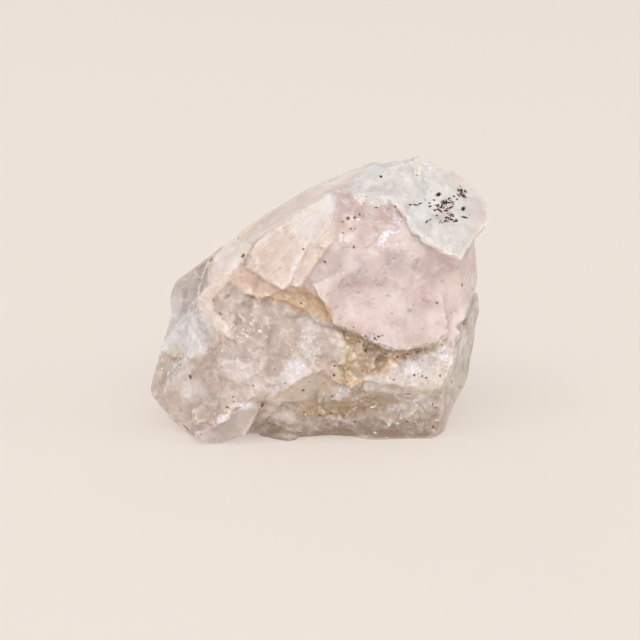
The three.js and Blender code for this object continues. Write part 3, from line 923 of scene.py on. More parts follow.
# %% Cut the fracture edges
STEPS = [
    # (drop and fade in mm, the line)
    (0.16, 2.5, [
        (-5.1, -6.1), (-5.4, -5.7), (-5.8, -5.1), (-6.1, -4.4), (-6.7, -3.7), (-7.8, -3.6), (-9, -4),
        (-10.2, -4.2),
    ]),
    (0.22, 2.0, [
        (-15, -3.1), (-14.1, -3.4), (-13.2, -3.4), (-12.4, -3.6), (-11.4, -3.1), (-11.3, -2.5),
        (-11.6, -1.7), (-12.2, -0.8),
    ]),
    (0.10, 1.6, [(-4.9, -3.9), (-5.1, -2.5), (-4.9, -1.3), (-4.7, -0.4)]),
    (0.12, 1.8, [(-6.3, 1.9), (-6.6, 1.1), (-6.9, 0.3), (-7.9, -0.6)]),
    (0.25, 2.0, [
        (-11.6, -9.5), (-10.7, -9.8), (-9.8, -10), (-9, -9.6), (-8.7, -9), (-7.8, -8.3), (-6.5, -7.4),
    ]),
    (0.22, 1.8, [(-11.7, 1.6), (-11.5, 1), (-10.7, 0.3), (-9.8, -0.8), (-9, -1.5), (-8.2, -1.9)]),
    (0.10, 1.2, [(-5.3, -7.8), (-4.2, -8), (-3.1, -7.8), (-2.2, -7.7), (-1, -7.5)]),
    (0.14, 1.5, [
        (8.6, 14.9), (9.6, 14), (10.2, 12.9), (10.3, 12.4), (9.6, 11.7), (8.6, 11.1), (8.2, 10),
    ]),
    (0.12, 1.6, [
        (7.2, 9.9), (7.9, 9), (7.6, 8.3), (5.8, 8.2), (5.3, 7.4), (4.6, 6.9), (3.2, 6.7), (1.8, 6.6),
    ]),
    (0.07, 2.2, [(14.2, 7), (13.9, 5), (13.4, 3.2), (13, 1.2), (12.6, -1.4)]),
    (0.08, 1.6, [(8.6, 3.3), (8.5, 2.2), (8.2, 0.9), (8.1, -0.4)]),
    (0.08, 1.6, [(5.4, -6.1), (6.4, -6.9), (7.8, -7.1), (9.4, -6.7), (11, -7.2)]),
    (0.20, 1.5, [(-5.6, -9.9), (-4.9, -9.8), (-4.3, -9.8), (-3.1, -10.3), (-1.9, -10.6)]),
    (0.07, 0.8, [(-6.8, 6.3), (-5.9, 7), (-4.8, 7.9), (-3.4, 8.9)]),
    (0.07, 0.8, [(-7, 5.8), (-5.6, 7), (-4.1, 8.1), (-2.8, 9)]),
    (0.10, 1.2, [(-3.1, 3.4), (-2.5, 4.4), (-1.8, 5.8), (-1.1, 7.2)]),
    (0.08, 1.0, [(-2, 3.2), (-1.4, 4.4), (-0.6, 5.8), (0.1, 6.8)]),
    (0.12, 1.2, [(-10.1, 5.9), (-9.6, 4.8), (-9.3, 4.3), (-8.9, 3.9)]),
    (0.30, 1.6, [(-9.6, 7.2), (-10.2, 6.3), (-10.4, 5), (-10.7, 3.5), (-11.7, 2.1)]),
    (0.15, 1.2, [(-5.7, -7.6), (-4, -6.8), (-1.9, -5.9), (-0.4, -5.1)]),
    (0.22, 0.7, [(6.9, 11), (7.9, 9.9), (8.4, 8.9), (9.5, 7.5), (11.5, 6.3), (13, 5.8)]),
]
STEP_LIP = 0.08  # how wide the drop itself is, in mm
STEP_END = 0.8  # how a step fades out past the ends of its line
END_REACH = 3
STEP_SHAKE = 0.12  # how far the lines are shaken out of true


def side_of(line, flat):
    """The distance to a line, positive to the left of its way, and 1 beside it, less past its ends."""
    nearest = np.full(len(flat), np.inf)
    signed = np.zeros(len(flat))
    beyond = np.zeros(len(flat))
    corners = np.array(line, float)
    for start, end in zip(corners[:-1], corners[1:]):
        run = end - start
        share = ((flat - start) @ run) / (run @ run)
        foot = start + np.clip(share, 0, 1)[:, None] * run
        away = flat - foot
        gap = np.linalg.norm(away, axis=1)
        left = run[0] * (flat - start)[:, 1] - run[1] * (flat - start)[:, 0]
        closer = gap < nearest
        nearest = np.where(closer, gap, nearest)
        signed = np.where(closer, np.sign(left) * gap, signed)
    for end, before in ((corners[0], corners[1]), (corners[-1], corners[-2])):
        outwards = (end - before) / np.linalg.norm(end - before)
        close = np.linalg.norm(flat - end, axis=1) < END_REACH
        beyond = np.maximum(beyond, (flat - end) @ outwards * close)
    return signed, 1 - soft(beyond, 0, STEP_END)


def cut_steps(points, normals):
    """Lowers the points to the right of every line, where the surface faces the front."""
    flat = front_view(points + STEP_SHAKE * np.sin(bent(points) * 5))
    faces_front = soft(-normals[:, 1], -0.1, 0.3)
    for drop, fade, line in STEPS:
        signed, beside = side_of(line, flat)
        down = np.where(signed < 0, np.exp(signed / fade), 0) * soft(-signed, 0, STEP_LIP)
        points -= (drop * down * beside * faces_front)[:, None] * normals


points, normals = places(stone), directions(stone)
cut_steps(points, normals)
put_places(stone, points)
print("fracture edges:", len(STEPS))

# %% [markdown]
# ## Chipped edges
#
# No edge of a broken stone runs clean for long. Small chips are taken out wherever the
# surface is sharp, and more of them out of the pink ledge's lower edge.

# %% Chip the edges
CHIP_DEPTH = 0.16
LEDGE_NOTCHES = 1.8  # how much deeper than that the ledge is notched
SHARP_ROUNDS = 6
SHARP_EDGE = (0.01, 0.07)  # mm of sharpness, from no chips to full ones
CHIP_HEIGHTS = (0.3, 1)  # from the base up, chips set in between these heights, in mm
LEDGE = [
    (0.6, -0.9), (2.7, -1.8), (4.9, -3), (6.5, -3.5), (8.4, -3.6), (10.4, -3.2), (12.2, -2.5),
    (13.2, -1), (12.6, -0.3), (11.6, -1.3), (10.1, -1.9), (8.4, -2.2), (6.5, -2.1), (4.9, -1.5),
    (2.7, -0.3), (1.2, 0.4),
]


def neighbours_mean(values, edges, count):
    """The mean of each point's neighbours, along the edges."""
    total = np.zeros_like(values)
    np.add.at(total, edges[:, 0], values[edges[:, 1]])
    np.add.at(total, edges[:, 1], values[edges[:, 0]])
    return total / count[:, None]


def sharpness(thing):
    """Positive on edges and ridges, negative in hollows, in mm."""
    points, normals = places(thing), directions(thing)
    edges = np.empty(2 * len(thing.data.edges), int)
    thing.data.edges.foreach_get("vertices", edges)
    edges = edges.reshape(-1, 2)
    count = np.maximum(np.bincount(edges.ravel(), minlength=len(points)), 1)
    smooth = points.copy()
    for _ in range(SHARP_ROUNDS):
        smooth = neighbours_mean(smooth, edges, count)
    return ((points - smooth) * normals).sum(axis=1)


points, normals = places(stone), directions(stone)
broken = crumple(points, 1.8, 0.6, 6, 1)
broken = soft(broken / broken.std(), 0, 1.5)
notched = crumple(points, 1.1, 0.4, 6, 1)
notched = soft(notched / notched.std(), -0.2, 1.0) * soft(inside_by(LEDGE, front_view(points)), 0, 0.3)
chipped = CHIP_DEPTH * (broken + LEDGE_NOTCHES * notched * (points[:, 1] < 0))
chipped *= soft(sharpness(stone), *SHARP_EDGE) * soft(points[:, 2], *CHIP_HEIGHTS)
put_places(stone, points - chipped[:, None] * normals)
print("chipped by up to", round(float(chipped.max()), 2), "mm")

# %% [markdown]
# ## Relief
#
# Finer relief is engraved with Displace modifiers. A texture gives the pattern, an empty
# that is turned and stretched gives its grain, and a vertex group says where it goes.

# %% Engrave the relief
SOFT_CLOUDS = {"noise_depth": 1}
HARD_CLOUDS = {"noise_depth": 1, "noise_type": "HARD_NOISE"}
ROUGH_CLOUDS = {"noise_depth": 2, "noise_type": "HARD_NOISE"}


def engrave(where, height, size, tilt=0, pattern="CLOUDS", middle=0.5, **settings):
    """Raises a texture's pattern on the stone, with its grain along a tilted empty's axes."""
    group = where_group(stone, where)
    texture = bpy.data.textures.new("pattern", pattern)
    texture.noise_scale = 1
    for name, value in settings.items():
        setattr(texture, name, value)
    bpy.ops.object.empty_add(rotation=(0, math.radians(tilt), 0))
    frame_of_grain = bpy.context.object
    frame_of_grain.scale = size
    bpy.context.view_layer.update()
    finish_modifier(
        stone, "DISPLACE", texture=texture, texture_coords="OBJECT", direction="NORMAL",
        texture_coords_object=frame_of_grain, strength=height, mid_level=middle, vertex_group=group.name,
    )
    stone.vertex_groups.clear()
    bpy.data.objects.remove(frame_of_grain)
    bpy.data.textures.remove(texture)


# The height and the size are in mm, and the tilt is in degrees.
engrave(flat_base, 0.14, (3.2, 3.2, 3.2), **SOFT_CLOUDS)
engrave(sugary, 0.07, (0.7, 0.7, 0.7), **ROUGH_CLOUDS)
engrave(sugary, 0.04, (0.5, 0.5, 0.5), pattern="VORONOI", middle=-0.4, weight_1=-1)
engrave(fractured, 0.06, (2.5, 0.45, 0.45), tilt=35, **ROUGH_CLOUDS)
engrave(part["slope"], 0.07, (7, 0.4, 0.4), tilt=-29, **HARD_CLOUDS)
engrave(part["side"], 0.04, (0.9, 0.9, 5), tilt=12, **SOFT_CLOUDS)
engrave(part["grey"], 0.06, (1, 1, 5), tilt=20, **SOFT_CLOUDS)
engrave(part["cap"], 0.05, (0.8, 0.8, 0.8), **ROUGH_CLOUDS)
print("the relief is engraved on", len(stone.data.vertices), "points")

# %% [markdown]
# ## Fewer faces where it is flat
#
# The even skin has more faces than the flat parts need. Decimate keeps them where the
# relief is and thins them out elsewhere.

# %% Thin out the flat parts
MOST_TRIANGLES = 190000

stone.data.calc_loop_triangles()
share = min(1, MOST_TRIANGLES / len(stone.data.loop_triangles))
finish_modifier(stone, "DECIMATE", ratio=share)
print("the stone has", len(stone.data.polygons), "faces")

# %% [markdown]
# ## Marks for the finishes
#
# The finished surface remembers its areas as attributes, and how sharp it is at each
# point: edges get a painted highlight, and hollows are painted darker and browner.

# %% Store the marks
FAR = 3  # mm: further inside or outside than this makes no difference to a finish


def remember(thing, name, values):
    """Stores one number for every point of a thing."""
    attribute = thing.data.attributes.new(name, "FLOAT", "POINT")
    attribute.data.foreach_set("value", values.astype(np.float32))


depths = area_depths(places(stone))
for name, inside in depths.items():
    remember(stone, "in_" + name, np.clip(inside, -FAR, FAR))
remember(stone, "edge", sharpness(stone))
print("marks:", len(stone.data.attributes))

# %% [markdown]
# ## Specks, dots and flecks
#
# Dark minerals and brown dots are colour alone, and so are the bright flecks, which are
# painted glints. Each face belongs to one speck, and its corners remember the way there in
# the speck's own half lengths, so a speck is a crisp small oval however coarse the faces are.
# Some specks have their place in front, and others are scattered all round.

# %% Place the specks
SPECKS = {
    # kind: [(right, up, length, width, turn in degrees)]
    "black": [
        (11.17, 11.84, 0.42, 0.24, 35), (13.40, 11.85, 0.62, 0.32, -50), (13.15, 12.2, 0.32, 0.14, 10),
        (11.77, 11.1, 0.48, 0.36, 20), (11.95, 11.36, 0.26, 0.12, 30), (12.14, 10.55, 0.46, 0.10, 20),
        (12.5, 11.04, 0.3, 0.11, -70), (13.52, 10.5, 0.36, 0.24, 55), (13.64, 9.69, 0.42, 0.14, -5),
        (12.32, 9.47, 0.44, 0.11, -15), (11.9, 9.29, 0.34, 0.12, 10), (11.33, 10.31, 0.38, 0.14, -40),
        (10.83, 10.37, 0.20, 0.14, 0), (10.39, 10.73, 0.26, 0.12, 30), (10.33, 11.04, 0.16, 0.12, 0),
        (10.75, 11.31, 0.14, 0.12, 0), (11.05, 10.86, 0.34, 0.09, 20), (8.5, 10.86, 0.18, 0.14, 0),
        (9.0, 10.87, 0.42, 0.10, -5), (9.42, 10.98, 0.34, 0.10, 28), (12.64, 11.68, 0.18, 0.12, 0),
        (12.94, 11.4, 0.16, 0.12, 0), (11.01, 9.87, 0.14, 0.11, 0), (10.09, 9.29, 0.28, 0.10, 55),
        (10.39, 9.47, 0.24, 0.08, 50), (11.35, 9.29, 0.30, 0.08, 60), (12.5, 10.7, 0.16, 0.10, 30),
        (11.5, 10.9, 0.2, 0.09, 70), (12.3, 11.3, 0.18, 0.09, -30), (12.85, 9.5, 0.14, 0.09, 0),
    ],
    "brown": [
        (2.65, 9.6, 0.30, 0.30, 0), (2.15, 9.28, 0.17, 0.15, 0), (2.83, 9.94, 0.12, 0.12, 0),
        (3.27, 9.68, 0.26, 0.2, 30), (3.75, 9.96, 0.16, 0.22, 0), (4.01, 9.82, 0.14, 0.12, 0),
        (2.89, 8.62, 0.17, 0.12, 0), (2.15, 8.2, 0.12, 0.1, 0), (3.3, 8.63, 0.1, 0.1, 0),
        (3.17, 6.85, 0.15, 0.26, 0), (5.3, 10.6, 0.3, 0.11, 0), (0.45, 5.5, 0.3, 0.16, -30),
        (13.4, 3.33, 0.28, 0.24, 30), (11.06, 1.62, 0.2, 0.16, 0), (12.4, 0.7, 0.1, 0.1, 0),
        (5.15, -1.72, 0.22, 0.18, 0), (5.55, -1.56, 0.34, 0.16, 15), (5.1, -1.36, 0.12, 0.1, 0),
        (5.9, -1.45, 0.16, 0.1, 0), (5.3, -1.86, 0.2, 0.1, -30), (-7.26, 6.05, 0.24, 0.4, -20),
        (-12.23, -5.37, 0.26, 0.34, 30), (-10.06, 1.85, 0.12, 0.12, 0), (-1.58, -6.64, 0.26, 0.24, 0),
        (-5.43, -8.02, 0.24, 0.4, -20), (-0.01, -9.0, 0.2, 0.14, -20), (-1.5, -8.7, 0.14, 0.12, 0),
        (1.31, -5.2, 0.24, 0.2, 30), (1.37, -4.35, 0.18, 0.14, 0), (-6.3, -6.2, 0.2, 0.12, -40),
        (-3.3, -5.98, 0.14, 0.12, 0), (-8.2, -7.25, 0.22, 0.1, 40), (-13.2, -3.6, 0.12, 0.12, 0),
        (-12.6, -10.2, 0.9, 0.14, -28),
        (8.9, -5.2, 0.16, 0.2, 0), (9.65, -5.3, 0.14, 0.14, 0), (10.0, -5.45, 0.2, 0.14, 0),
        (6.95, -5.6, 0.16, 0.14, 0), (8.32, -6.97, 0.36, 0.12, 10), (8.2, -9.6, 0.44, 0.12, -40),
        (10.66, -10.1, 0.28, 0.13, -50), (2.55, -5.8, 0.16, 0.1, 0), (4.03, -4.77, 0.24, 0.1, 40),
        (1.0, -8.8, 0.3, 0.12, -15), (3.3, -9.6, 0.2, 0.14, 0), (12.4, -5.8, 0.16, 0.3, 20),
        (13.2, -6.3, 0.2, 0.4, 30), (12.75, -4.5, 0.14, 0.12, 0), (-9.4, 0.6, 0.3, 0.1, -40),
        (4.3, -2.85, 0.3, 0.16, -40), (7.3, -3.5, 0.24, 0.16, 20), (8.1, -3.2, 0.36, 0.12, 15),
        (9.2, -3.0, 0.3, 0.1, 18), (-10.3, 5.7, 0.5, 0.1, 78), (-10.35, 4.6, 0.4, 0.08, 82),
    ],
    "blue": [
        (5.9, 5.0, 0.6, 0.12, 60), (6.5, 5.4, 0.5, 0.1, 62), (6.9, 5.9, 0.5, 0.1, 58),
        (7.4, 6.1, 0.5, 0.12, 50), (7.7, 5.6, 0.36, 0.1, 70), (9.1, 5.4, 0.6, 0.12, 75),
        (9.0, 5.0, 0.4, 0.16, 30), (8.7, 6.0, 0.3, 0.1, 40), (7.1, 5.0, 0.3, 0.1, 60),
        (6.3, 4.4, 0.4, 0.1, 45), (2.6, 3.3, 0.5, 0.24, 20), (2.1, 3.7, 0.5, 0.12, 60),
        (3.0, 4.2, 0.5, 0.12, 30), (3.7, 4.6, 0.5, 0.16, 25), (4.3, 4.6, 0.4, 0.14, 35),
        (3.2, 3.6, 0.3, 0.12, 0), (1.8, 3.1, 0.36, 0.1, 70), (5.7, 3.3, 0.4, 0.14, -20),
        (6.4, 2.3, 0.3, 0.18, 0), (3.6, 2.6, 0.28, 0.14, 10), (11.5, 4.8, 0.5, 0.14, 25),
        (11.5, 3.7, 0.22, 0.18, 0), (12.9, 4.9, 0.2, 0.26, 0), (9.8, 1.9, 0.5, 0.2, -50),
        (8.45, 0.9, 0.36, 0.34, 0), (1.5, 1.2, 0.3, 0.14, 60), (0.7, 2.4, 0.3, 0.16, 60),
        (6.8, 0.6, 0.22, 0.14, 0), (9.7, -0.8, 0.18, 0.14, 0), (6.2, 4.0, 0.3, 0.12, 20),
        (5.0, 2.0, 0.2, 0.12, 0), (10.6, 4.2, 0.4, 0.1, 20), (7.9, 3.0, 0.2, 0.1, 30),
    ],
}
# How many more of each kind are scattered, over which areas, with their longest and shortest.
SCATTERED = {
    "brown": (260, None, 0.22, 0.08), "blue": (150, "beryl", 0.26, 0.10),
    "black": (14, "cap", 0.22, 0.08), "white": (260, None, 0.13, 0.05),
}
BLUE_FREE = ("cap", "mauve", "slope", "peach_main", "peach_upper", "peach_right", "peach_lip")
LOWEST_SPECK = 0.5  # mm above the floor
AREA_MARGIN = 0.2
# Painted glints, as bright flecks, gather in swarms: (right, up, spread, number).
GLINT_SWARMS = [
    (6.5, 7.9, 0.6, 16), (7.4, 9.2, 0.4, 10), (2.0, 7.8, 0.25, 4), (-14.2, -5.4, 0.5, 12),
    (-13.3, -4.0, 0.5, 14), (-9.2, -9.2, 0.4, 14), (-2.4, -4.0, 0.7, 24), (-7.0, -1.4, 0.7, 12),
    (2.4, -6.8, 0.9, 10), (9, -4.6, 1.4, 14), (5.6, -5.6, 0.9, 10), (6.4, -8.8, 2.4, 10),
    (-1, -2.2, 1.0, 20), (0, -0.4, 1.0, 12), (-6.4, -0.6, 1.2, 12), (9.9, 13.9, 0.5, 8),
    (5.6, 12.4, 1.6, 12), (-12.6, 0.8, 0.6, 8),
]
GLINT_LENGTHS = (0.06, 0.2)
# Black specks crowd round some places too: (right, up, spread, number, turn).
CROWDS = [(11.85, 10.75, 0.34, 24, 40), (13.45, 12.0, 0.2, 12, -50), (12.2, 9.6, 0.4, 12, 10)]
CROWD_LENGTHS = (0.12, 0.36)
SPECK_THICKNESS = 0.4
RIVALS = 4  # how many near specks compete for a face


def glint_swarms():
    """Painted glints as bright flecks, which mostly lie one way."""
    for right, up, spread, number in GLINT_SWARMS:
        for _ in range(number):
            length = chance.uniform(*GLINT_LENGTHS)
            yield *chance.normal((right, up), spread), length, length * 0.4, chance.normal(-40, 40)


def crowds():
    """Black specks that lie about the way of their crowd."""
    for right, up, spread, number, turn in CROWDS:
        for _ in range(number):
            length = chance.uniform(*CROWD_LENGTHS)
            spot = chance.normal((right, up), spread)
            yield *spot, length, length * chance.uniform(0.3, 0.6), chance.normal(turn, 25)


def placed_specks(tree, kind):
    """The specks of a kind that have their place in front, laid on the surface there."""
    shapes = list(glint_swarms() if kind == "white" else SPECKS[kind])
    if kind == "black":
        shapes += crowds()
    for right, up, length, width, turn in shapes:
        place, normal = on_stone(tree, right, up)
        angle = math.radians(turn)
        along = math.cos(angle) * view_right + math.sin(angle) * view_up
        yield place, along.cross(normal).cross(normal).normalized(), normal, length, width


def scattered_specks(thing, depths, kind):
    """The specks of a kind that are scattered over the whole thing or over one area."""
    number, area, longest, shortest = SCATTERED[kind]
    points, normals = places(thing), directions(thing)
    allowed = points[:, 2] > LOWEST_SPECK
    if area:
        allowed &= depths[area] > AREA_MARGIN
    if kind == "blue":
        allowed &= np.maximum.reduce([depths[name] for name in BLUE_FREE]) < 0
    for index in chance.choice(np.flatnonzero(allowed), number):
        normal = Vector(normals[index])
        along = Vector(chance.normal(size=3)).cross(normal).normalized()
        length = shortest + (longest - shortest) * chance.random() ** 3
        yield Vector(points[index]), along, normal, length, length * chance.uniform(0.35, 1)


def face_corners(thing):
    """The middle of every face, and for every face corner its point and its face."""
    faces, corners = thing.data.polygons, thing.data.loops
    middles = np.empty(3 * len(faces))
    faces.foreach_get("center", middles)
    sizes = np.empty(len(faces), int)
    faces.foreach_get("loop_total", sizes)
    points = np.empty(len(corners), int)
    corners.foreach_get("vertex_index", points)
    return middles.reshape(-1, 3), points, np.repeat(np.arange(len(faces)), sizes)


def way_to(points, specks, chosen):
    """The way from each point to its chosen speck, in half lengths, half widths and thicknesses."""
    centre, along, normal = (np.array([speck[i] for speck in specks])[chosen] for i in range(3))
    length, width = (np.array([speck[i] for speck in specks])[chosen] for i in (3, 4))
    offset = points - centre
    x = (offset * along).sum(axis=-1) / (length / 2)
    y = (offset * np.cross(normal, along)).sum(axis=-1) / (width / 2)
    return np.stack([x, y, (offset * normal).sum(axis=-1) / SPECK_THICKNESS], axis=-1)


def speckle(thing, tree, depths, kind):
    """Stores the way from each face corner to the speck that reaches its face best."""
    specks = list(placed_specks(tree, kind)) + list(scattered_specks(thing, depths, kind))
    near = KDTree(len(specks))
    for number, speck in enumerate(specks):
        near.insert(speck[0], number)
    near.balance()
    middles, points, faces = face_corners(thing)
    rivals = np.array([[hit[1] for hit in near.find_n(middle, RIVALS)] for middle in middles])
    reaches = np.linalg.norm(way_to(middles[:, None], specks, rivals), axis=2)
    chosen = rivals[np.arange(len(rivals)), reaches.argmin(axis=1)]
    ways = way_to(places(thing)[points], specks, chosen[faces])
    way = thing.data.attributes.new("to_" + kind, "FLOAT_VECTOR", "CORNER")
    way.data.foreach_set("vector", ways.astype(np.float32).ravel())
    return len(specks)


tree = tree_of(stone)
print("specks:", {kind: speckle(stone, tree, depths, kind) for kind in SCATTERED})

# %% [markdown]
# ## Soft tints
#
# Stain, milky clouds, painted shade and painted light are laid on as soft ovals in a few
# tones, one tone over the other. Frost is a crust of fine white crystals, and some of its marks
# are painted glints; dust is a smudge of dark grains in the pink beryl. Both have a texture of
# their own, so they are kept apart from the tints.

# %% Paint the tints
TONES = {
    "smoke_and_shade": (176, 157, 146), "painted_low_shade": (148, 129, 114), "violet_and_low_shade": (152, 133, 130),
    "rose": (190, 168, 165), "blush_and_painted_light": (230, 214, 209), "milk_and_highlight": (226, 220, 222),
    "peach": (226, 200, 176), "honey": (222, 191, 155), "ochre": (178, 150, 116),
    "umber_and_shade": (140, 114, 86), "moss": (208, 204, 180), "gold_glint": (251, 240, 208),
}
TINTS = {
    # tone: [(strength, right, up, half length, half width, turn in degrees)]
    # smoky patches in the quartz, and painted shade on the low right
    "smoke_and_shade": [
        (0.45, -6.8, 0.5, 2.2, 1, -30), (0.5, -5.6, -1.2, 1.2, 0.9, -60), (0.7, -9, -3, 2.4, 0.8, -20),
        (0.5, 1.6, 13.4, 2.4, 0.2, 27), (0.4, 6.2, 15.1, 1.6, 0.25, 5), (0.5, -4.4, -0.8, 0.8, 0.6, 30),
        (0.6, 5, -3.8, 1.1, 0.8, 10), (0.35, 6.2, 12.4, 1.6, 0.6, 10), (0.2, -3.8, -2.8, 1, 0.7, 30),
        (0.55, 6.4, -9.2, 2.6, 0.5, 0), (0.6, 9.2, -9.6, 1.6, 0.7, 10), (0.5, 0.6, -9.7, 1.6, 0.4, 0),
        (0.5, -11.2, -0.4, 1.6, 0.35, -48), (0.2, -10.4, -5.8, 1.2, 1, 10), (0.2, -15.2, -6, 0.8, 1.6, 0),
        (0.6, -11, 4.8, 1.5, 0.4, 80), (0.4, -13, 2.4, 1.5, 0.5, 60), (0.6, 12.3, -7.7, 2, 0.6, 62),
        (0.3, 11.4, -9.6, 0.8, 1.2, 0),
    ],
    # painted shade along the base, where the stone curves under
    "painted_low_shade": [
        (0.9, 5.6, -10.3, 4.8, 0.6, 0), (0.5, 9.2, -9.6, 2, 0.5, 0), (0.4, 3.6, -9.7, 2, 0.4, 0),
        (0.5, 1.5, -9.7, 1, 0.35, 0), (0.3, 7.4, -9.2, 1, 0.3, 0),
    ],
    # dark mauve of the foot, and painted shade along the base
    "violet_and_low_shade": [
        (0.6, 5.4, -11, 2, 0.3, 0), (0.8, 1.1, -10.65, 0.5, 0.2, 10), (0.8, 2.1, -10.15, 0.45, 0.2, -45),
        (0.5, -4.4, -10.8, 2.4, 0.5, -8), (0.6, -2.9, -11, 1.1, 0.5, 0),
    ],
    "rose": [
        (0.4, 3.2, 12, 0.8, 1, -30), (0.4, 4.4, 10.9, 1.6, 0.25, -8),
        (0.55, 6.4, 4.8, 4, 1.4, 14), (0.6, 3.2, 3.9, 2, 0.9, 25), (0.5, 7.2, 5.5, 1.6, 0.7, 40),
        (0.45, 10.4, 4.4, 2.4, 0.8, 10), (0.3, 9.4, 1.6, 1.6, 1.2, 50), (0.3, 3.6, 10.5, 1.5, 0.7, -20),
        (0.3, 5.2, 9, 1, 0.6, 20), (0.3, 2.4, 6.4, 1, 0.5, 30), (0.3, 11.6, 10.1, 0.3, 0.7, 20),
    ],
    # paler pink, and painted light that lifts shaded places under the ledge and at its right end
    "blush_and_painted_light": [
        (0.5, 6.8, 1.6, 2, 1.6, 30), (0.55, 4.2, 0.4, 1.8, 1, -30), (0.5, 10.6, 0.2, 1.6, 0.9, 40),
        (0.5, 9.2, 6.6, 1.2, 0.6, 20), (0.4, 5.6, 6.8, 1.6, 0.5, 15), (0.5, 12.6, 2.6, 0.5, 1.4, -10),
        (0.9, 12.6, -1.1, 0.8, 0.5, 45), (0.8, 13.2, 0.3, 1.2, 0.4, 60), (0.3, 0.9, -2.4, 0.8, 0.8, 0),
        (0.6, 7.5, 10.4, 1, 0.3, -50), (0.6, -4, -8.8, 1.5, 0.7, -10), (0.5, -2.9, -9.3, 1.4, 0.5, -8),
        (0.4, -6, -6, 1.2, 0.6, 20), (0.3, -5, 0.9, 1.2, 0.6, -20), (0.7, 12.2, -2.2, 0.9, 0.4, 30),
        (0.3, -3.6, -7.6, 1.2, 0.3, 10), (0.7, 0.8, -1.1, 0.9, 0.4, -30),
    ],
    # milky clouds, and painted highlights in streaks down the right side
    "milk_and_highlight": [
        (0.3, -13.6, -6.2, 0.8, 0.6, 30), (0.5, 4, -11, 0.6, 0.3, 0), (0.5, 7.3, -8.3, 0.8, 0.3, 0),
        (0.6, -13, 0.2, 1.2, 0.25, 50), (0.5, -12.2, -1.4, 1.4, 0.3, -70), (0.7, -13.7, 1.2, 1.2, 0.6, 75),
        (0.4, -12.2, -6.9, 1.4, 1, 60), (0.4, 14, -7.6, 0.6, 0.4, 0), (0.5, -13, -1.8, 1.3, 0.7, -50),
        (0.4, -12.4, -0.8, 2, 0.7, -50), (0.6, -13, -4.2, 1.4, 0.25, 40), (0.5, -14.3, -5.6, 1.3, 0.2, 75),
        (0.6, -7.2, -8, 1.1, 0.4, 30), (0.4, -7.9, -4.8, 1.8, 0.8, 10), (0.6, -2.9, -5.3, 2.2, 0.7, 36),
        (0.7, -2.2, -3.9, 0.7, 0.6, 50), (0.8, 1.9, -7.1, 1.2, 0.45, 35), (0.3, 11.4, -3.6, 0.7, 1.2, 20),
        (0.25, 2, -9.3, 1.2, 0.2, 5), (0.3, 9.8, -7.8, 1.6, 0.5, 0), (0.8, 0.9, 11.2, 0.5, 1, -15),
        (0.6, -0.6, 9.2, 1.6, 0.8, 40), (0.6, 8.9, -4.4, 1.5, 0.6, 20), (0.5, -1, -2.6, 1.2, 0.6, -20),
        (0.5, -0.6, -0.6, 1.2, 0.5, -20), (0.6, 13.5, -2.4, 0.25, 1.2, -12), (0.4, 14.3, 0.4, 0.3, 1.2, -5),
        (0.4, 1.6, 13.2, 2.2, 0.3, 28),
    ],
    "peach": [
        (0.6, -9.3, -1, 1.2, 0.2, -45), (0.5, -8.4, -1.7, 0.5, 0.16, -50), (0.6, 1.2, 9.2, 0.2, 0.6, 20),
        (0.5, -7, 8.4, 1.4, 0.6, 32), (0.4, 0.6, 7.6, 0.5, 0.5, 0), (0.5, -10.2, 5.2, 0.9, 0.16, 80),
        (0.8, 2.3, -2, 1.1, 0.6, -30), (0.8, 3.4, -3.1, 0.9, 0.6, 0), (0.4, 3.8, -7.2, 1.2, 0.4, 10),
        (0.4, 0.7, -6.2, 1, 0.7, 10),
    ],
    "honey": [
        (0.95, 6.5, -4.3, 1, 0.5, 20), (0.95, 3.2, -5.85, 1, 0.45, 0), (0.7, 12.1, 6.1, 0.7, 0.16, -20),
    ],
    "ochre": [
        (0.5, 3.1, -1.3, 1, 0.2, -30), (0.4, 4.4, -4.6, 1.4, 0.5, 25), (0.7, 3.1, -5.1, 1.2, 0.14, 5),
        (0.9, 0.7, -8.5, 2.4, 0.5, -2), (0.4, 5.8, -7.9, 2, 0.35, -4), (0.8, -9.75, 6.4, 0.5, 0.26, 50),
        (0.5, 0, 6.3, 0.9, 0.3, 60), (0.6, 0.4, 5.6, 0.4, 0.25, -30), (0.5, -1.6, 1.9, 1.6, 0.2, -20),
        (0.6, 13.4, -4.4, 0.3, 0.5, 0),
    ],
    # brown stain, and painted shade in the hollow and the gap under the pink ledge
    "umber_and_shade": [
        (0.7, 4.8, -2.6, 1, 0.35, -15), (0.6, 7.7, -3.3, 0.7, 0.25, 10), (0.6, 9.4, -2.85, 1.9, 0.1, 12),
        (0.5, 5.9, -3.5, 0.3, 0.7, 20), (0.6, -6, 2, 0.7, 0.12, -10), (0.4, 1.9, -8.6, 1.2, 0.25, -5),
        (0.8, 4.6, -2.7, 0.5, 0.09, 12), (0.8, 5.4, -2.9, 0.4, 0.08, -30), (0.8, 6, -3.3, 0.4, 0.08, -65),
    ],
    "moss": [(0.8, -13.5, -3, 0.6, 0.4, -40), (0.6, 9.8, -6.9, 1.6, 0.35, 0), (0.8, 2.2, -3.1, 0.7, 0.6, 30)],
    # painted golden glints on the cap
    "gold_glint": [(0.8, 9.9, 14.7, 0.6, 0.25, -30), (0.8, 9.2, 13.8, 0.3, 0.35, 0)],
}
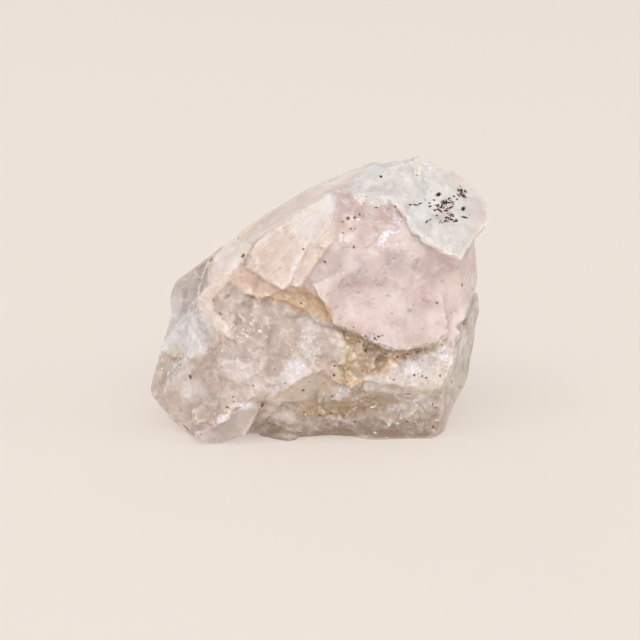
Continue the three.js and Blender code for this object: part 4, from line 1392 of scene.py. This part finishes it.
# White frost, and painted glints on splinters, step edges and sparkling grains
FROST_AND_GLINTS = [
    # (right, up, half length, half width, turn in degrees)
    (5.95, 7.7, 0.9, 0.35, 60), (6.9, 8.3, 0.7, 0.2, 5), (3.6, 9.5, 0.25, 0.16, 0),
    (7.3, 9.3, 0.8, 0.2, 118), (2, 7.8, 0.4, 0.16, 95), (9.2, 13.8, 0.3, 0.2, 0),
    (10.4, 14.2, 0.3, 0.2, 0), (-1.9, -4.6, 0.7, 0.3, 60), (-9.2, -9.3, 0.7, 0.4, 12),
    (-7, -8, 0.7, 0.16, 30), (-13, -3.8, 0.5, 0.16, 35), (-14.3, -5, 0.5, 0.1, 75),
    (-6.9, -1.5, 0.8, 0.06, -35), (-7.2, 0.1, 0.9, 0.05, -42), (-12, 0.6, 1.2, 0.06, -48),
    (11.6, -3.2, 0.4, 0.8, 30), (8.8, -4.8, 0.7, 0.2, 20), (1.5, -7.2, 0.5, 0.2, 40),
    (2.6, -6.7, 0.3, 0.2, 10), (9, -7.6, 0.22, 0.2, 0), (-5.6, -1.1, 0.9, 0.06, -38),
    (-13.7, -4.3, 0.4, 0.2, 50), (1.9, -6.5, 0.25, 0.15, 60), (3.4, -7.4, 0.2, 0.12, 30),
    (5.2, -10.7, 0.2, 0.12, 20), (6.5, -9.9, 0.15, 0.2, 0), (7.3, -9.8, 0.25, 0.1, -10),
    (8.2, -10.6, 0.15, 0.12, 0), (5, -8.2, 0.3, 0.08, 5), (7.1, -7, 0.12, 0.1, 0),
]
DUST = [
    (6.6, 5.5, 1.3, 0.5, 58), (5.6, 4.4, 0.8, 0.3, 40), (3.1, 3.9, 1.5, 0.6, 32),
    (2.3, 3.2, 0.6, 0.4, 10), (9, 5.3, 0.8, 0.3, 72), (7.7, 6.3, 0.5, 0.16, 60),
    (11.4, 4.4, 0.8, 0.3, 20), (5.7, 3.3, 0.5, 0.2, -20), (8.5, 0.9, 0.35, 0.25, 0),
    (10, 1.9, 0.5, 0.2, -50), (12.9, 4.9, 0.3, 0.4, 0), (0.8, 2.2, 0.4, 0.2, 60),
    (4.6, 1.6, 0.4, 0.2, 30), (7, -0.4, 0.4, 0.2, 20), (10.8, -0.6, 0.4, 0.2, 50),
]
OVAL_DEPTH = 1.5  # how deep an oval reaches into the stone, besides its half width, in mm
OVAL_RIM = (0.5, 1.5)  # from full to nothing, in half lengths from the middle
WAVES = [(0.25, 3.1), (0.12, 8.3)]  # the tints' borders waver: height in mm, and how quickly


def oval(points, tree, right, up, half_length, half_width, turn):
    """1 in the middle of a soft oval on the front of the stone, and 0 outside it."""
    place, _ = on_stone(tree, right, up)
    angle = math.radians(turn)
    along = np.array(math.cos(angle) * view_right + math.sin(angle) * view_up)
    across = np.array(math.cos(angle) * view_up - math.sin(angle) * view_right)
    offset = points - np.array(place)
    reach = np.sqrt(
        ((offset @ along) / half_length) ** 2 + ((offset @ across) / half_width) ** 2
        + ((offset @ np.array(view_forward)) / (OVAL_DEPTH + half_width)) ** 2
    )
    return soft(-reach, -OVAL_RIM[1], -OVAL_RIM[0])


def painted(points, tree):
    """The colour of the tints and how far they cover, for every point."""
    shades = np.zeros((len(points), 4))
    for tone, ovals in TINTS.items():
        for strength, *shape in ovals:
            cover = strength * oval(points, tree, *shape)
            whole = cover + shades[:, 3] * (1 - cover)
            share = cover / np.maximum(whole, TINY)
            shades[:, :3] += share[:, None] * (np.array(colour(*TONES[tone])) - shades[:, :3])
            shades[:, 3] = whole
    return shades


points = places(stone)
wavy = points.copy()
for height, rate in WAVES:
    wavy += height * np.sin(bent(points) * rate)
shades = painted(wavy, tree)
tint = stone.data.attributes.new("tint", "FLOAT_COLOR", "POINT")
tint.data.foreach_set("color", shades.astype(np.float32).ravel())
for name, shapes in (("frost", FROST_AND_GLINTS), ("dust", DUST)):
    remember(stone, name, np.maximum.reduce([oval(points, tree, *shape) for shape in shapes]))
print("tones:", len(TONES), "covering", round(float(shades[:, 3].mean()), 2))

# %% [markdown]
# ## The colours of the areas
#
# Each area has a light and a dark colour in soft patches, a roughness, and its own amount of
# veils and of grains. One area is laid over the other, and their borders wobble a little.

# %% Colour the areas
FINISHES = {
    # area: (light colour, dark colour, how soft its border is in mm, roughness, veils, grains)
    "quartz": ((205, 188, 178), (186, 167, 155), 0.2, 0.14, 0.60, 0.12),
    "beryl": ((219, 203, 198), (204, 185, 180), 0.12, 0.24, 0.24, 0.05),
    "slope": ((220, 199, 188), (204, 183, 172), 0.2, 0.20, 0.20, 0.0),
    "mauve": ((214, 195, 190), (200, 177, 171), 0.4, 0.22, 0.70, 0.05),
    "peach_main": ((221, 205, 195), (211, 192, 180), 0.12, 0.22, 0.60, 0.0),
    "peach_upper": ((227, 218, 211), (216, 202, 192), 0.3, 0.22, 0.60, 0.05),
    "peach_right": ((221, 204, 193), (212, 192, 180), 0.12, 0.22, 0.50, 0.0),
    "peach_lip": ((211, 185, 168), (197, 169, 150), 0.12, 0.22, 0.50, 0.0),
    "cream": ((229, 217, 208), (218, 202, 192), 0.12, 0.26, 0.50, 0.0),
    "cream_edge": ((228, 215, 206), (213, 197, 186), 0.12, 0.24, 0.60, 0.05),
    "grey": ((194, 182, 176), (173, 158, 151), 0.12, 0.10, 0.25, 0.0),
    "glassy": ((217, 213, 213), (196, 189, 187), 0.3, 0.10, 0.80, 0.0),
    "lobe": ((195, 182, 176), (182, 167, 160), 0.15, 0.10, 0.30, 0.0),
    "streak": ((218, 209, 206), (203, 190, 184), 0.4, 0.20, 0.6, 0.10),
    "ochre": ((218, 193, 163), (194, 160, 124), 0.15, 0.20, 0.35, 0.25),
    # the low right's darker colours are partly painted shade under the overhang
    "low_right": ((190, 176, 162), (166, 149, 133), 0.6, 0.16, 0.40, 0.32),
    "side": ((194, 186, 175), (175, 163, 149), 0.2, 0.12, 0.50, 0.0),
    "shelf": ((223, 213, 207), (206, 193, 184), 0.25, 0.18, 0.5, 0.35),
    "wedge": ((208, 194, 180), (194, 178, 163), 0.2, 0.14, 0.35, 0.0),
    "band": ((174, 151, 127), (152, 128, 103), 0.7, 0.20, 0.20, 0.40),
    "recess": ((202, 178, 148), (172, 147, 117), 0.4, 0.26, 0.15, 0.40),
    # the underside's dark colours are partly painted shade, where the stone curves under
    "underside": ((156, 136, 122), (140, 119, 106), 0.7, 0.18, 0.20, 0.1),
    "cap": ((219, 216, 214), (207, 203, 200), 0.1, 0.16, 0.75, 0.05),
    "cap_edge": ((214, 205, 200), (204, 193, 188), 0.9, 0.12, 0.20, 0.0),
}


def areas_finish(finish, place):
    """The base colour, roughness and amounts of veils and grains, area over area."""
    wobble = finish.noise(place, 0.7, 3) - 0.5
    names = iter(FINISHES.items())
    _, (light, dark, _, roughness, veils, grains) = next(names)
    light, dark = colour(*light), colour(*dark)
    for name, (lighter, darker, border, rough, veiled, grainy) in names:
        mask = finish.step(finish.mark("in_" + name) + wobble * (2 * border), -border, border)
        light = finish.mixed(light, colour(*lighter), mask)
        dark = finish.mixed(dark, colour(*darker), mask)
        roughness = finish.between(roughness, rough, mask)
        veils = finish.between(veils, veiled, mask)
        grains = finish.between(grains, grainy, mask)
    patches = finish.step(finish.noise(place, 2.4, 5, 0.62, 0.5), 0.36, 0.64)
    return finish.mixed(light, dark, patches), roughness, veils, grains


print("areas with a finish of their own:", len(FINISHES))

# %% [markdown]
# ## What shows inside the stone
#
# Milky stones show what lies in them: bright sheets and needles with dark gaps between
# them, streaks and dust in the beryl, and the lines where thin cleavage sheets end.

# %% Veils, streaks, dust and lines
GAP, CLOUD, SHEET = colour(172, 150, 138), colour(232, 227, 226), colour(246, 242, 242)
STREAK, BLOT = colour(188, 167, 163), colour(180, 160, 158)
DUST_CLUMP, DUST_GRAIN = colour(168, 152, 153), colour(102, 94, 104)
CLEAVAGE_LINE = colour(246, 238, 233)
STREAK_TURN = (0, -58, 0)  # the way that streaks and dust lie in the beryl
LINED_AREAS = ("peach_main", "peach_upper", "slope")


def veiled(finish, place, shade, amount):
    """Thin bright sheets, wisps and needles inside the stone, and the dark gaps between them."""
    stretched = finish.turned(place, (20, 50, 10), (2.4, 1.1, 1.0))
    needles = finish.turned(place, (0, 46, 0), (3.0, 0.5, 0.22))
    sheet = finish.noise(stretched, 1.5, 8, 0.66, 0.7) - 0.5
    thin = 1 - finish.step(sheet.maths("ABSOLUTE", sheet), 0.0, 0.022)
    cloud = finish.step(finish.noise(place, 1.4, 9, 0.70, 0.5), 0.47, 0.62)
    gaps = finish.step(finish.noise(stretched, 0.8, 8, 0.68, 0.4), 0.54, 0.66)
    needle = finish.step(finish.noise(needles, 0.8, 4, 0.6), 0.60, 0.68)
    bright = finish.most(thin * cloud, needle * 0.6)
    shade = finish.mixed(shade, GAP, gaps * amount * 0.42)
    shade = finish.mixed(shade, CLOUD, cloud * amount * 0.56)
    return finish.mixed(shade, SHEET, bright * amount * 0.7)


def streaked(finish, place, shade):
    """Fine grey-pink streaks that climb to the right through the beryl."""
    along = finish.turned(place, STREAK_TURN, (1.9, 0.7, 0.55))
    fine = finish.step(finish.noise(along, 0.75, 5, 0.66, 0.4), 0.52, 0.72)
    blots = finish.step(finish.noise(place, 0.5, 3, 0.55), 0.60, 0.72)
    others = [finish.step(finish.mark("in_" + name), -0.2, 0.1) for name in ("cap", "slope")]
    inside = finish.step(finish.mark("in_beryl"), 0.0, 0.4) * (1 - finish.most(*others))
    shade = finish.mixed(shade, STREAK, fine * inside * 0.45)
    return finish.mixed(shade, BLOT, blots * inside * 0.30)


def dusted(finish, place, shade):
    """Smudges of dark mineral grains, which lie along the streaks of the beryl."""
    along = finish.turned(place, STREAK_TURN, (0.9, 0.4, 0.3))
    clumps = finish.step(finish.noise(along, 0.7, 6, 0.72), 0.46, 0.62)
    grains = finish.step(finish.noise(along, 0.3, 4, 0.8), 0.50, 0.66)
    there = finish.step(finish.mark("dust"), 0.0, 0.9)
    shade = finish.mixed(shade, DUST_CLUMP, clumps * there * 0.60)
    return finish.mixed(shade, DUST_GRAIN, clumps * grains * there * 0.85)


def cleaved_lines(finish, place, shade):
    """The fine parallel lines where thin cleavage sheets end, on the peach slabs and the slope."""
    lined = finish.turned(place, (0, -44, 0), (5, 0.6, 0.2))
    line = finish.step(finish.noise(lined, 0.8, 3, 0.5), 0.57, 0.66)
    slabs = [finish.step(finish.mark("in_" + name), 0.0, 0.2) for name in LINED_AREAS]
    return finish.mixed(shade, CLEAVAGE_LINE, line * finish.most(*slabs) * 0.35)


print("inside:", [layer.__name__ for layer in (streaked, dusted, cleaved_lines, veiled)])

# %% [markdown]
# ## What lies on its surface
#
# Frost with its painted glints, sugary grains and specks lie on top. Each small cell of a
# pattern picks a shade of its own or slopes its own way, so that a broken face glitters.

# %% Frost and painted glints, grains and specks
FROST_GLINT_DARK, FROST_GLINT_BRIGHT = colour(214, 207, 212), colour(246, 242, 245)
GRAIN_BRIGHT, GRAIN_DARK = colour(240, 234, 228), colour(140, 118, 98)
FROST_GLINT_CELL, GRAIN_CELL = 0.16, 0.28  # mm
SPECK_COLOURS = {
    # kind: (colour, rim colour, how far it covers, how far its rim does, size, how soft it is)
    "blue": ((160, 148, 149), (190, 172, 169), 0.5, 0.4, 1.0, 0.6),
    "brown": ((106, 75, 53), (190, 154, 124), 0.95, 0.45, 1.1, 0.25),
    # the white specks are painted glints
    "white": ((255, 252, 250), (236, 224, 218), 0.8, 0.3, 1.0, 0.3),
    "black": ((30, 22, 38), (190, 156, 126), 1.0, 0.75, 1.3, 0.2),
}
SPECK_RIM = 1.1  # how far the rim of stain reaches past a speck, in half lengths


def frosted_and_glinting(finish, place, shade):
    """A crust of fine white crystals, and painted glints, with a crisp, ragged border."""
    ragged = finish.mark("frost") + finish.noise(place, 0.35, 5, 0.8) * 1.2
    pick = finish.picks(place, FROST_GLINT_CELL)
    crystals = finish.mixed(FROST_GLINT_DARK, FROST_GLINT_BRIGHT, finish.step(pick, 0.2, 0.9))
    return finish.mixed(shade, crystals, finish.step(ragged, 1.06, 1.24) * 0.85)


def facets(finish, place, size):
    """A height made of small flats: each cell of a pattern slopes its own way."""
    middle = finish.add("TexVoronoi", {}, {"Vector": place, "Scale": 1 / size}, "Position")
    hue = Wired(finish.tree, middle.socket.node.outputs["Color"])
    away = finish.add("VectorMath", {"operation": "SUBTRACT"}, {0: place, 1: middle})
    slope = finish.add("VectorMath", {"operation": "SUBTRACT"}, {0: hue, 1: (0.5, 0.5, 0.5)})
    return finish.add("VectorMath", {"operation": "DOT_PRODUCT"}, {0: away, 1: slope}, "Value")


def grained(finish, place, shade, amount):
    """Sugary grains: every small cell a little lighter or darker."""
    shaken = finish.add("VectorMath", {"operation": "ADD"}, {0: place, 1: finish.noise(place, 0.3, 2)})
    pick = finish.picks(shaken, GRAIN_CELL)
    bright = finish.step(finish.noise(place, 0.9, 3), 0.45, 0.62)
    shade = finish.mixed(shade, GRAIN_BRIGHT, finish.step(pick, 0.55, 1.0) * bright * amount)
    return finish.mixed(shade, GRAIN_DARK, (1 - finish.step(pick, 0.0, 0.4)) * amount * 0.5)


def specked(finish, place, shade):
    """The specks of every kind, each with a thin rim: of stain round the dark ones, and of paler painted glow
    round the glints.
    """
    ragged = (finish.noise(place, 0.14, 2) - 0.5) * 1.6
    for kind, (inner, rim, cover, rim_cover, size, softness) in SPECK_COLOURS.items():
        way = finish.mark("to_" + kind, "Vector")
        reach = finish.add("VectorMath", {"operation": "LENGTH"}, {"Vector": way}, "Value") + ragged
        outer = 1 - finish.step(reach, size, size + SPECK_RIM)
        shade = finish.mixed(shade, colour(*rim), outer * rim_cover)
        core = 1 - finish.step(reach, size - softness, size + softness)
        shade = finish.mixed(shade, colour(*inner), core * cover)
    return shade


print("on its surface:", [layer.__name__ for layer in (grained, frosted_and_glinting, specked)])

# %% [markdown]
# ## The whole finish
#
# The layers go over each other from the inside out. Thin edges get a painted highlight and
# hollows are painted darker and browner. Light goes a little way into the stone, red the furthest, which
# makes it look milky.

# %% Put the finish together
# The painted highlight on thin edges and ridges, and the darker brown of hollows
EDGE_HIGHLIGHT, HOLLOW_DARK_BROWN = colour(246, 239, 234), colour(164, 138, 112)
CRYSTAL_IOR = 1.57  # between quartz at 1.54 and beryl at 1.58
MILKINESS = 0.9
LIGHT_DEPTH = 0.0016  # metres
LIGHT_DEPTHS = (1.0, 0.85, 0.75)  # of red, green and blue, as shares of that


def crystal_finish():
    """The material of the stone, with all of its layers."""
    finish = Finish(bpy.data.materials.new("milky_crystal"))
    metres = finish.add("TexCoord", {}, {}, "Object")
    place = finish.add("VectorMath", {"operation": "SCALE"}, {"Vector": metres, "Scale": 1 / MM})
    shade, roughness, veils, grains = areas_finish(finish, place)
    shade = streaked(finish, place, shade)
    shade = finish.mixed(shade, finish.mark("tint", "Color"), finish.mark("tint", "Alpha"))
    shade = dusted(finish, place, shade)
    shade = cleaved_lines(finish, place, shade)
    shade = veiled(finish, place, shade, veils)
    shade = grained(finish, place, shade, grains)
    shade = frosted_and_glinting(finish, place, shade)

    edge = finish.mark("edge")
    # a painted highlight on thin edges and ridges
    shade = finish.mixed(shade, EDGE_HIGHLIGHT, finish.step(edge, 0.015, 0.12) * 0.30)
    # hollows are painted darker and browner
    shade = finish.mixed(shade, HOLLOW_DARK_BROWN, finish.step(0 - edge, 0.04, 0.16) * 0.25)
    shade = specked(finish, place, shade)

    splinters = finish.noise(finish.turned(place, (0, 48, 0), (1.0, 0.4, 0.4)), 0.8, 4, 0.6)
    flats = (facets(finish, place, 0.4) + facets(finish, place, 0.18)) * (grains * 0.9 + 0.05)
    bump = finish.add("Bump", {}, {"Strength": 1, "Distance": MM, "Height": splinters * 0.06 + flats})
    shader = finish.add("BsdfPrincipled", {}, {
        "Base Color": shade, "Roughness": roughness, "IOR": CRYSTAL_IOR, "Normal": bump,
        "Subsurface Weight": MILKINESS, "Subsurface Radius": LIGHT_DEPTHS, "Subsurface Scale": LIGHT_DEPTH,
    })
    finish.add("OutputMaterial", {}, {"Surface": shader})
    return finish.owner


crystal = crystal_finish()
stone.data.materials.append(crystal)
print("the finish has", len(crystal.node_tree.nodes), "nodes")

# %% [markdown]
# ## Back to its real size
#
# The stone goes back to metres and takes the place of the frame's plain one. Faces that meet
# at a small angle are shaded as one, and all others keep a crisp edge between them.

# %% Place the stone
SMOOTH_ANGLE = math.radians(40)

stone.scale = (MM,) * 3
select_only(stone)
bpy.ops.object.transform_apply(scale=True)
bpy.ops.object.shade_smooth_by_angle(angle=SMOOTH_ANGLE)
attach(stone, "root")
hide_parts("morganite_crystal")
print("the finished stone, in mm:", [round(1000 * size, 1) for size in stone.dimensions])
